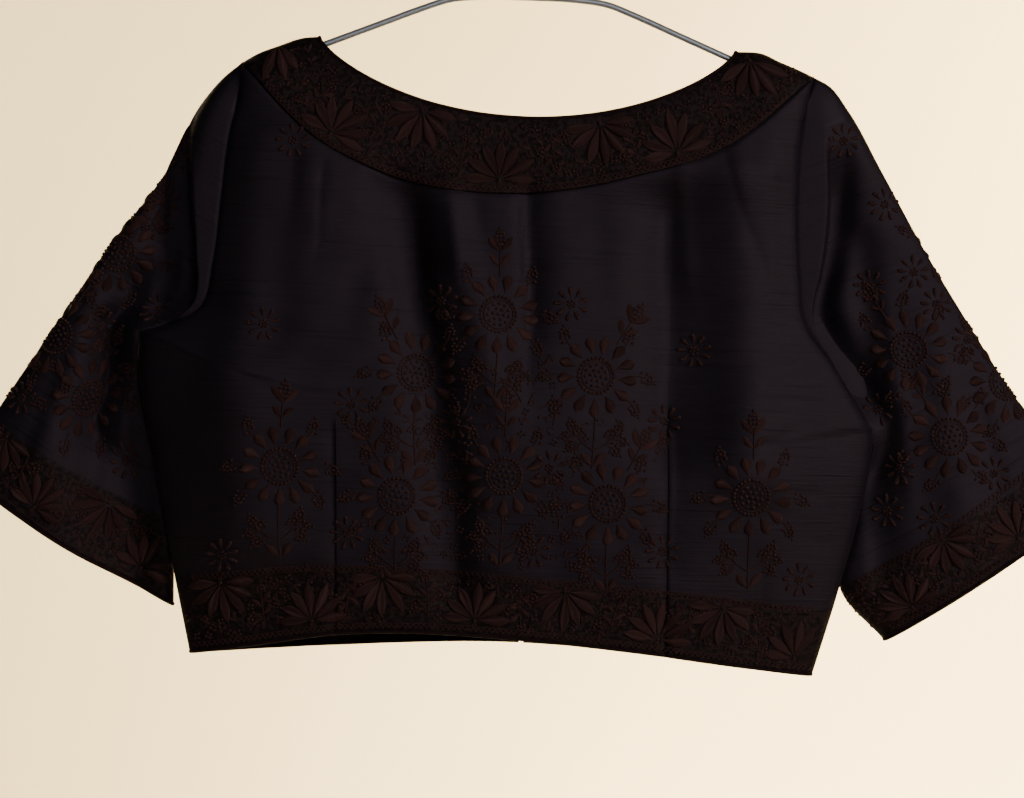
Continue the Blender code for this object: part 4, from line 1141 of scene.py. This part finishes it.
    def finished(self, relief):
        """The work carried onto the cloth, without the pieces that would hang over its edge."""
        vertices = np.concatenate(self.vertices)
        on_cloth = relief.holds(vertices[:, 0], -vertices[:, 1])
        kept = np.zeros(len(vertices), dtype=bool)
        faces, vertex, face = [], 0, 0
        for size, count in self.sizes:
            if on_cloth[vertex:vertex + size].all():
                kept[vertex:vertex + size] = True
                faces += self.faces[face:face + count]
            vertex += size
            face += count
        index = np.cumsum(kept) - 1
        faces = [[int(index[v]) for v in f] for f in faces]
        vertices = vertices[kept]
        placed = relief.place(vertices[:, 0], -vertices[:, 1], vertices[:, 2])
        return placed, faces, np.concatenate(self.uv)[kept], np.concatenate(self.tone)[kept]


def emit(name, works):
    """One object from several pieces of needlework, each with the surface it lies on."""
    vertices, faces, uv, tone, start = [], [], [], [], 0
    for work, relief in works:
        placed, own, own_uv, own_tone = work.finished(relief)
        vertices.append(placed)
        faces += [[index + start for index in face] for face in own]
        uv.append(own_uv)
        tone.append(own_tone)
        start += len(placed)
    mesh = mesh_of(name, np.concatenate(vertices), faces, np.concatenate(uv), {"tone": np.concatenate(tone)})
    return put(name, mesh, THREAD)


def line_of(down, start, stop, step=0.0025, shift=0.0):
    """Points along a curve of down over across, as x and y, moved off it to the left of its run."""
    across = np.arange(start, stop, step if stop > start else -step)
    line = np.stack([across, -down(across)], axis=-1)
    run = np.gradient(line, axis=0)
    run /= np.linalg.norm(run, axis=1, keepdims=True)
    return line + shift * np.stack([-run[:, 1], run[:, 0]], axis=-1)


def border_of(seed, low, high, fans, fan_size, braid, filling, open_back=False):
    """The work of a border between two curves of down over across: braids, fans, twigs and filling."""
    work = Needlework(seed)
    work.zigzag(line_of(low, *braid, shift=FOOT_BRAID))
    work.zigzag(line_of(high, *braid, shift=-HEAD_BRAID))
    half = len(fans) // 2
    twigs = between(fans[:half]) + between(fans[half:]) if open_back else between(fans)
    for places, stitch, size, foot, head in ((fans, work.fan, fan_size, 0.0085, 0.0060),
                                             (twigs, work.twig, 0.024, 0.009, 0.007)):
        for across, up in places:
            slope = math.atan2(low(across - 0.004) - low(across + 0.004), 0.008)
            if up:
                stitch(across, -low(across) + foot, slope + math.pi / 2, size)
            else:
                stitch(across, -high(across) - head, slope - math.pi / 2, size)
    start, stop = filling
    depths = [down(across) for down in (low, high) for across in np.linspace(start, stop, 30)]
    work.fill(lambda x, y: high(x) + HEAD_FILL < -y < low(x) - FOOT_FILL,
              (start, -max(depths), stop, -min(depths)), FILL_PITCH, FILL_CLEAR)
    return work


def between(fans):
    places = [across for across, _ in fans]
    return [((a + b) / 2, number % 2 == 0) for number, (a, b) in enumerate(zip(places, places[1:]))]


def fans_at(places, up):
    """Fans that stand on the border's foot and hang from its head by turns."""
    return [(across, (number % 2 == 0) == up) for number, (across,) in enumerate(tenths((x,) for x in places))]


def scattered(seed, sprays, rosettes, branches=()):
    """The flowers of one side of the body; places in millimetres."""
    work = Needlework(seed)
    for x, down, lean, foot in sprays:
        work.spray(x / 1000, -down / 1000, FLOWER_RADIUS, foot=foot / 1000, lean=lean)
    for x, down in rosettes:
        work.rosette(x / 1000, -down / 1000)
    for x, down, turn in branches:
        work.branch(x / 1000, -down / 1000, turn, 0.013, 0.5)
    return work


def front_works():
    flowers = scattered(11, FRONT_SPRAYS, FRONT_ROSETTES, FRONT_BRANCHES)
    flowers.fill(lambda x, y: abs(x + 0.004) < 0.088 and 0.196 < -y < 0.328 and -y > 0.17 + 0.9 * abs(x + 0.004),
                 (-0.095, -0.330, 0.090, -0.190), 0.0060, 0.0021)
    hem = fans_at((-1800, -1216, -785, -201, 354, 942, 1342, 1810), False)
    neck = fans_at((-1570, -1208, -644, -147, 470, 960, 1400), False)
    return (("front_flowers", flowers),
            ("front_hem_border", border_of(12, HEM["front"], BORDER["front"], hem, 0.0225, *HEM_RUNS)),
            ("neck_border_front", border_of(13, BAND_FRONT, NECK_FRONT, neck, 0.0240, *NECK_RUNS)))


def back_works():
    hem = fans_at((-1780, -1310, -830, -340, 320, 800, 1290, 1740), True)
    neck = fans_at((-1500, -1100, -720, -320, 340, 740, 1120, 1500), False)
    return (("back_flowers", scattered(21, BACK_SPRAYS, BACK_ROSETTES)),
            ("back_hem_border", border_of(22, HEM["back"], BORDER["back"], hem, 0.0215, *HEM_RUNS, open_back=True)),
            ("neck_border_back", border_of(23, BAND_BACK, NECK_BACK, neck, 0.0240, *NECK_RUNS, open_back=True)))


def sleeve_work(side, back):
    """Flowers, rosettes and the cuff border of one layer of a sleeve."""
    work = Needlework({"left": 31, "right": 41}[side] + back)
    inner, outer = np.array(SLEEVE_UNDER[side][-1]), np.array(SLEEVE_OUTSIDE[side][-1])
    width = np.linalg.norm(outer - inner)
    run = (outer - inner) / width
    up = np.array([run[1], -run[0]])
    up = up if up[1] < 0 else -up
    turn = math.atan2(-up[1], up[0])

    def at(along, height):
        place = inner + along * run + height * up
        return place[0], -place[1]

    reach = width + (0.022 if not back else -0.001)
    ticks = np.arange(0.001, reach, 0.0025)
    bow = CUFF_BOW[side] * np.sin(math.pi * np.clip(ticks / width, 0, 1))
    for height in CUFF_BRAIDS:
        line = [at(a, height - b) for a, b in zip(ticks, bow)]
        work.zigzag(line if side == "right" else line[::-1])
    for number, along in enumerate(np.arange(0.020, reach - 0.004, CUFF_FAN_PITCH)):
        opens_up = (number + back) % 2 == 0
        ways = (turn, turn + math.pi) if opens_up else (turn + math.pi, turn)
        feet = (CUFF_FOOT, CUFF_HEAD) if opens_up else (CUFF_HEAD, CUFF_FOOT)
        work.fan(*at(along, feet[0]), ways[0], 0.0215)
        if along + 0.02 < reach:
            work.twig(*at(along + 0.020, feet[1]), ways[1], 0.022)

    def in_border(x, y):
        return CUFF_FILL[0] < (x - inner[0]) * up[0] - (y + inner[1]) * up[1] < CUFF_FILL[1]

    corners = [at(a, h) for a in (-0.004, reach) for h in (0.0, 0.045)]
    work.fill(in_border, (*np.min(corners, axis=0), *np.max(corners, axis=0)), FILL_PITCH, FILL_CLEAR)
    for x, down in SLEEVE_FLOWERS[side, back]:
        x, y = x / 1000, -down / 1000
        work.flower(x, y, SLEEVE_FLOWER_RADIUS, turn)
        for number in range(7):
            way = turn + 0.45 + number * 2 * math.pi / 7
            work.branch(*polar(x, y, 0.0245, way), way, 0.0085, 0.6 if number % 2 else -0.6)
        work.bud(*polar(x, y, 0.025, turn), turn, 0.028)
    for x, down in SLEEVE_ROSETTES[side][:7 if back else None]:
        work.rosette(x / 1000, -down / 1000)
    return work


def finish_nodes(name):
    made = bpy.data.materials.new(name)
    made.use_nodes = True
    return made, made.node_tree, made.node_tree.nodes["Principled BSDF"]


def feed(tree, made, inputs):
    """Links or sets the sockets of a node; a key is a socket's name or i and its number."""
    for key, value in inputs.items():
        socket = made.inputs[int(key[1:]) if key[1:].isdigit() else key.replace("_", " ")]
        if isinstance(value, bpy.types.NodeSocket):
            tree.links.new(value, socket)
        else:
            socket.default_value = value


def node(tree, kind, settings=None, **inputs):
    made = tree.nodes.new(kind)
    for key, value in (settings or {}).items():
        setattr(made, key, value)
    feed(tree, made, inputs)
    return made


def noise(tree, place, scale, detail):
    return node(tree, "ShaderNodeTexNoise", Vector=place, Scale=scale, Detail=detail).outputs[0]


def ranged(tree, value, **limits):
    return node(tree, "ShaderNodeMapRange", Value=value, **limits).outputs[0]


def bump(tree, strength, distance, height):
    return node(tree, "ShaderNodeBump", Strength=strength, Distance=distance, Height=height).outputs[0]


def weighted(tree, *parts):
    """The sum of several values, each times its weight."""
    total = None
    for value, weight in parts:
        term = math_node(tree, "MULTIPLY", value, weight)
        total = term if total is None else math_node(tree, "ADD", total, term)
    return total


def math_node(tree, operation, first, second=0.0):
    return node(tree, "ShaderNodeMath", {"operation": operation}, i0=first, i1=second).outputs[0]


def mix_colour(tree, share, first, second):
    made = node(tree, "ShaderNodeMix", {"data_type": "RGBA"}, i0=share)
    for index, value in ((6, first), (7, second)):
        if isinstance(value, bpy.types.NodeSocket):
            tree.links.new(value, made.inputs[index])
        else:
            made.inputs[index].default_value = (*value, 1.0)
    return made.outputs[2]


def silk_material():
    """Slubbed raw silk, with the close brown stitching of the borders."""
    made, tree, shader = finish_nodes("raw_silk")
    uv = node(tree, "ShaderNodeUVMap", {"uv_map": "weave"}).outputs[0]
    border = node(tree, "ShaderNodeAttribute", {"attribute_name": "border"}).outputs[2]

    def stretched(x, y, detail=2.0):
        scaled = node(tree, "ShaderNodeVectorMath", {"operation": "MULTIPLY"}, i0=uv, i1=(x, y, 1.0)).outputs[0]
        return noise(tree, scaled, 1.0, detail)

    def scaled_by(value, factor):
        return math_node(tree, "MULTIPLY", value, factor)

    slub = stretched(26.0, 720.0, 3.0)
    thick = ranged(tree, stretched(14.0, 330.0), i1=0.60, i2=0.74)
    fine = stretched(240.0, 3000.0, 1.0)
    cloud = stretched(9.0, 7.0)
    split = node(tree, "ShaderNodeSeparateXYZ", i0=uv)
    weave = scaled_by(*(math_node(tree, "SINE", scaled_by(split.outputs[axis], 2 * math.pi / pitch))
                        for axis, pitch in ((0, WARP_PITCH), (1, WEFT_PITCH))))
    stitch = stretched(700.0, 700.0)
    silk = mix_colour(tree, slub, (0.0034, 0.0024, 0.0036), (0.0150, 0.0106, 0.0142))
    silk = mix_colour(tree, scaled_by(cloud, 0.55), silk, (0.0050, 0.0036, 0.0052))
    silk = mix_colour(tree, scaled_by(thick, 0.42), silk, (0.0020, 0.0015, 0.0020))
    gaps = ranged(tree, stretched(330.0, 330.0), i1=0.44, i2=0.56)
    ground = mix_colour(tree, stitch, (0.0044, 0.0024, 0.0023), (0.0160, 0.0080, 0.0074))
    ground = mix_colour(tree, gaps, (0.0030, 0.0017, 0.0018), ground)
    sheen = mix_colour(tree, gaps, (0.58, 0.43, 0.42), (1.0, 0.68, 0.66))
    height = weighted(tree, (slub, 0.9), (fine, 0.35), (weave, 0.10), (thick, 0.7), (scaled_by(stitch, border), 1.6))
    feed(tree, shader, {
        "Base Color": mix_colour(tree, scaled_by(border, 0.85), silk, ground),
        "Roughness": ranged(tree, fine, i3=0.50, i4=0.66),
        "Specular IOR Level": 0.24,
        "Specular Tint": mix_colour(tree, border, (1.0, 0.74, 0.90), sheen),
        "Sheen Weight": 0.012,
        "Sheen Roughness": 0.45,
        "Sheen Tint": (0.62, 0.50, 0.62, 1.0),
        "Normal": bump(tree, 0.75, 0.0004, height),
    })
    return made


def thread_material():
    """Silk thread in close satin stitches, brown on black, with painted shade in the grooves between the strands."""
    made, tree, shader = finish_nodes("embroidery_thread")
    uv = node(tree, "ShaderNodeUVMap", {"uv_map": "weave"}).outputs[0]
    tone = node(tree, "ShaderNodeAttribute", {"attribute_name": "tone"}).outputs[2]
    split = node(tree, "ShaderNodeSeparateXYZ", i0=uv)
    strand = math_node(tree, "SINE", math_node(tree, "MULTIPLY", split.outputs[0], 2 * math.pi))
    grain = noise(tree, uv, 0.8, 2.0)
    colour = mix_colour(tree, tone, (0.0175, 0.0078, 0.0072), (0.0450, 0.0196, 0.0176))
    colour = mix_colour(tree, math_node(tree, "MULTIPLY", grain, 0.5), colour, (0.0380, 0.0190, 0.0190))
    # Painted shade: the base colour is darkened towards near-black in the grooves between the strands, where the bump
    # dips
    shade = ranged(tree, strand, i1=-1.0, i2=1.0, i3=0.35, i4=0.0)
    height = math_node(tree, "ADD", strand, math_node(tree, "MULTIPLY", grain, 0.6))
    feed(tree, shader, {
        "Base Color": mix_colour(tree, shade, colour, (0.0060, 0.0030, 0.0030)),
        "Roughness": 0.48,
        "Specular IOR Level": 0.22,
        "Specular Tint": (1.0, 0.56, 0.50, 1.0),
        "Sheen Weight": 0.012,
        "Sheen Tint": (0.75, 0.50, 0.42, 1.0),
        "Normal": bump(tree, 0.6, 0.00015, height),
    })
    return made


def trim_material():
    """Bias-cut silk over a cord."""
    made, tree, shader = finish_nodes("piping_silk_fine")
    place = node(tree, "ShaderNodeTexCoord").outputs[3]
    stripes = node(tree, "ShaderNodeTexWave", {"bands_direction": "DIAGONAL"}, Vector=place, Scale=420.0,
                   Distortion=1.5, Detail=2.0).outputs[1]
    grain = noise(tree, place, 900.0, 2.0)
    height = math_node(tree, "ADD", math_node(tree, "MULTIPLY", stripes, 0.6), grain)
    feed(tree, shader, {
        "Base Color": mix_colour(tree, grain, (0.0080, 0.0042, 0.0046), (0.0220, 0.0115, 0.0115)),
        "Roughness": 0.50,
        "IOR": 1.18,
        "Specular IOR Level": 0.20,
        "Specular Tint": (1.0, 0.62, 0.66, 1.0),
        "Normal": bump(tree, 0.35, 0.0002, height),
    })
    return made


def wire_material():
    """Steel wire under a thin grey coating, rubbed along its length."""
    made, tree, shader = finish_nodes("coated_wire_fine")
    place = node(tree, "ShaderNodeTexCoord").outputs[3]
    grain = noise(tree, place, 260.0, 3.0)
    rub = noise(tree, place, 38.0, 4.0)
    colour = mix_colour(tree, grain, (0.30, 0.32, 0.35), (0.42, 0.44, 0.46))
    worn = ranged(tree, rub, i1=0.60, i2=0.72, i3=0.0, i4=0.5)
    feed(tree, shader, {
        "Base Color": mix_colour(tree, worn, colour, (0.20, 0.21, 0.23)),
        "Roughness": ranged(tree, rub, i3=0.24, i4=0.44),
        "Metallic": 0.55,
        "Normal": bump(tree, 0.15, 0.0002, grain),
    })
    return made


def wall_material(name, dark, pale):
    made, tree, shader = finish_nodes(name)
    place = node(tree, "ShaderNodeTexCoord").outputs[3]
    feed(tree, shader, {
        "Base Color": mix_colour(tree, noise(tree, place, 0.8, 3.0), dark, pale),
        "Roughness": 0.85,
        "Normal": bump(tree, 0.08, 0.002, noise(tree, place, 60.0, 4.0)),
    })
    return made


def tube(name, lines, radius, finish, replaces, resolution=4, closed=False):
    """A round cord or wire along each line of centres."""
    curve = bpy.data.curves.new(name, "CURVE")
    curve.dimensions = "3D"
    curve.bevel_depth = radius
    curve.bevel_resolution = resolution
    curve.use_fill_caps = True
    for centres in lines:
        spline = curve.splines.new("POLY")
        spline.points.add(len(centres) - 1)
        for point, centre in zip(spline.points, centres):
            point.co = (*centre, 1.0)
        spline.use_cyclic_u = closed
        spline.use_smooth = True
    return put(name, curve, finish, (replaces,))


def edge_centres(points, normals, row, neighbour):
    middle = points[row] - CLOTH / 2 * normals[row]
    along = np.gradient(points[row], axis=0)
    along /= np.linalg.norm(along, axis=1, keepdims=True)
    away = points[row] - points[neighbour]
    away -= np.sum(away * along, axis=1, keepdims=True) * along
    away /= np.linalg.norm(away, axis=1, keepdims=True)
    return middle + away * PIPING_RADIUS * 0.8


def build_piping(front, back, sleeves):
    for name, first, pieces, row, neighbour in (
            ("neck", front[1], (back["band", "left"], back["band", "right"]), 0, 2),
            ("hem", front[0], (back["panel", "left"], back["panel", "right"]), -1, -3)):
        left, middle, right = [edge_centres(*piece[:2], row, neighbour) for piece in (pieces[0], first, pieces[1])]
        left, right = left[::-1], right[::-1]
        right = right[right[:, 0] > PLACKET_HALF + 0.001]
        ring = np.vstack([left[:-2], (left[-1:] + middle[:1]) / 2, middle[2:-2],
                          (middle[-1:] + right[:1]) / 2, right[2:]])
        tube(f"{name}_cord", [ring], PIPING_RADIUS, TRIM, f"{name}_piping")
    for side, sleeve in sleeves.items():
        ring = edge_centres(sleeve["points"], sleeve["normals"], -1, -3)[:-1]
        tube(f"cuff_cord_{side}", [ring], PIPING_RADIUS, TRIM, f"cuff_piping_{side}", closed=True)


def arm_down(across):
    return ARM_DOWN + ARM_SLOPE * (across - NECK_HALF)


def build_hanger():
    apex = [(0.0, APEX_DOWN), (0.029, APEX_DOWN + 0.0005), (0.050, APEX_DOWN + 0.0030)]
    apex += [(across, arm_down(across)) for across in (ARM_START, ARM_START + 0.030)]
    outline = list(smooth_curve(apex, np.linspace(0.0, 1.0, 28)))
    slope = math.atan(ARM_SLOPE)
    centre_across = ARM_END - END_BEND_RADIUS * math.sin(slope)
    centre_down = arm_down(ARM_END) + END_BEND_RADIUS * math.cos(slope)
    outline += [polar(centre_across, centre_down, END_BEND_RADIUS, turn)
                for turn in np.linspace(slope - math.pi / 2, math.pi / 2, 24)]
    half = np.array(outline)
    line = np.vstack([half, half[:0:-1] * np.array([-1.0, 1.0])])
    ring = world(line[:, 0], np.zeros(len(line)), line[:, 1])
    tube("hanger_wire", [ring], WIRE_RADIUS, WIRE, "hanger_frame", 6, closed=True)

    heights = np.linspace(0.0, 1.0, 60)
    strands = []
    for phase in (0.0, math.pi):
        turn = phase + heights * 2.5 * 2 * math.pi
        z = NECK_FOOT_Z + 0.0010 + (NECK_HEIGHT - 0.0020) * heights
        strands.append(np.stack([0.0021 * np.cos(turn), 0.0021 * np.sin(turn), z], axis=-1))
    tube("hanger_twist", strands, 0.00195, WIRE, "hanger_neck", 5)

    stem = [(0.0, STEM_FOOT_Z - 0.0008), (0.0, STEM_FOOT_Z + 0.35 * HOOK_STEM),
            (0.0006, STEM_FOOT_Z + 0.5 * HOOK_STEM), (0.0035, STEM_FOOT_Z + 0.72 * HOOK_STEM)]
    stem += [polar(0.0, HOOK_CENTRE_Z, HOOK_RADIUS, turn)
             for turn in np.linspace(math.radians(-40), math.radians(205), 48)]
    tube("hanger_hook_wire", [[(x, 0.0, z) for x, z in stem]], WIRE_RADIUS, WIRE, "hanger_hook", 6)


def seam_allowance(front_grid):
    """The frayed edge of the seam that shows at the left underarm."""
    work = np.random.RandomState(5)
    levels = np.linspace(0.80, 0.995, 46)
    edge = armhole_edge("left", levels)
    run = np.gradient(edge, axis=0)
    run /= np.linalg.norm(run, axis=1, keepdims=True)
    outward = np.stack([-run[:, 1], run[:, 0]], axis=-1)
    outward *= np.where(outward[:, 1:] > 0, -1.0, 1.0)
    reach = 0.0036 * np.sin(np.linspace(0.12, 0.92, 46) * math.pi) + work.uniform(-0.0007, 0.0009, 46)
    rows = []
    for share, depth in ((-0.4, -0.0010), (0.35, -0.0022), (1.0, -0.0030)):
        flat = edge + outward * reach[:, None] * share
        rows.append(world(flat[:, 0], np.full(46, depth), flat[:, 1]))
    points = np.stack(rows, axis=1)
    uv = np.stack([np.linspace(0, 0.04, 46)[:, None] + np.zeros(3), np.zeros(46)[:, None] + np.linspace(0, 0.005, 3)],
                  axis=-1).reshape(-1, 2)
    mesh = mesh_of("underarm_allowance", points.reshape(-1, 3), quads(46, 3), uv, {"border": np.zeros(138)})
    made = put("underarm_allowance", mesh, SILK)
    solid = made.modifiers.new("thick", "SOLIDIFY")
    solid.thickness = 0.0006


def light(name, place, target, size, energy, colour):
    data = bpy.data.lights.new(name, "AREA")
    data.shape = "RECTANGLE"
    data.size, data.size_y = size
    data.energy = energy
    data.color = colour
    made = bpy.data.objects.new(name, data)
    made.location = place
    made.rotation_euler = (Vector(target) - Vector(place)).to_track_quat("-Z", "Y").to_euler()
    bpy.context.scene.collection.objects.link(made)


def build_stage():
    wall = wall_material("painted_wall", (0.83, 0.665, 0.380), (0.87, 0.708, 0.420))
    tiles = wall_material("pale_floor", (0.62, 0.62, 0.63), (0.68, 0.68, 0.69))
    for name, corners, finish in (
            ("backdrop", [(-ROOM_HALF, WALL_Y, FLOOR_Z), (ROOM_HALF, WALL_Y, FLOOR_Z),
                          (ROOM_HALF, WALL_Y, WALL_TOP), (-ROOM_HALF, WALL_Y, WALL_TOP)], wall),
            ("floor", [(-ROOM_HALF, -ROOM_HALF, FLOOR_Z), (ROOM_HALF, -ROOM_HALF, FLOOR_Z),
                       (ROOM_HALF, WALL_Y, FLOOR_Z), (-ROOM_HALF, WALL_Y, FLOOR_Z)], tiles)):
        mesh = bpy.data.meshes.new(name)
        mesh.from_pydata(corners, [], [(0, 1, 2, 3)])
        mesh.materials.append(finish)
        made = bpy.data.objects.new(name, mesh)
        bpy.context.scene.collection.objects.link(made)
    for row in LIGHTS:
        light(*row)
    world_shade = bpy.data.worlds.new("room_light")
    world_shade.use_nodes = True
    ground = world_shade.node_tree.nodes["Background"]
    ground.inputs[0].default_value = (1.0, 0.96, 0.91, 1.0)
    ground.inputs[1].default_value = WORLD_STRENGTH
    bpy.context.scene.world = world_shade

    camera = bpy.data.cameras.new("camera")
    camera.sensor_width = 36.0
    camera.lens = CAMERA_LENS
    camera.clip_end = 30.0
    made = bpy.data.objects.new("camera", camera)
    made.matrix_world = (Matrix.Translation(CAMERA_PLACE) @ Matrix.Rotation(math.radians(90), 4, "X")
                         @ Matrix.Rotation(math.radians(CAMERA_ROLL), 4, "Z"))
    bpy.context.scene.collection.objects.link(made)
    bpy.context.scene.camera = made


SILK = silk_material()
THREAD = thread_material()
TRIM = trim_material()
WIRE = wire_material()

front = build_front()
back = build_back()
sleeves = {side: build_sleeve(side) for side in SIDES}
build_piping(front, back, sleeves)
build_hanger()
seam_allowance(front[0])

front_relief = Relief([front[0][0], front[1][0]], -1.0)
back_relief = Relief([back[kind, side][0] for kind in ("panel", "band") for side in SIDES], 1.0)
for works, relief in ((front_works(), front_relief), (back_works(), back_relief)):
    for name, work in works:
        emit(name, [(work, relief)])
for side, sleeve in sleeves.items():
    emit(f"sleeve_{side}_work", [(sleeve_work(side, back), SleeveRelief(sleeve, back)) for back in (0, 1)])

build_stage()
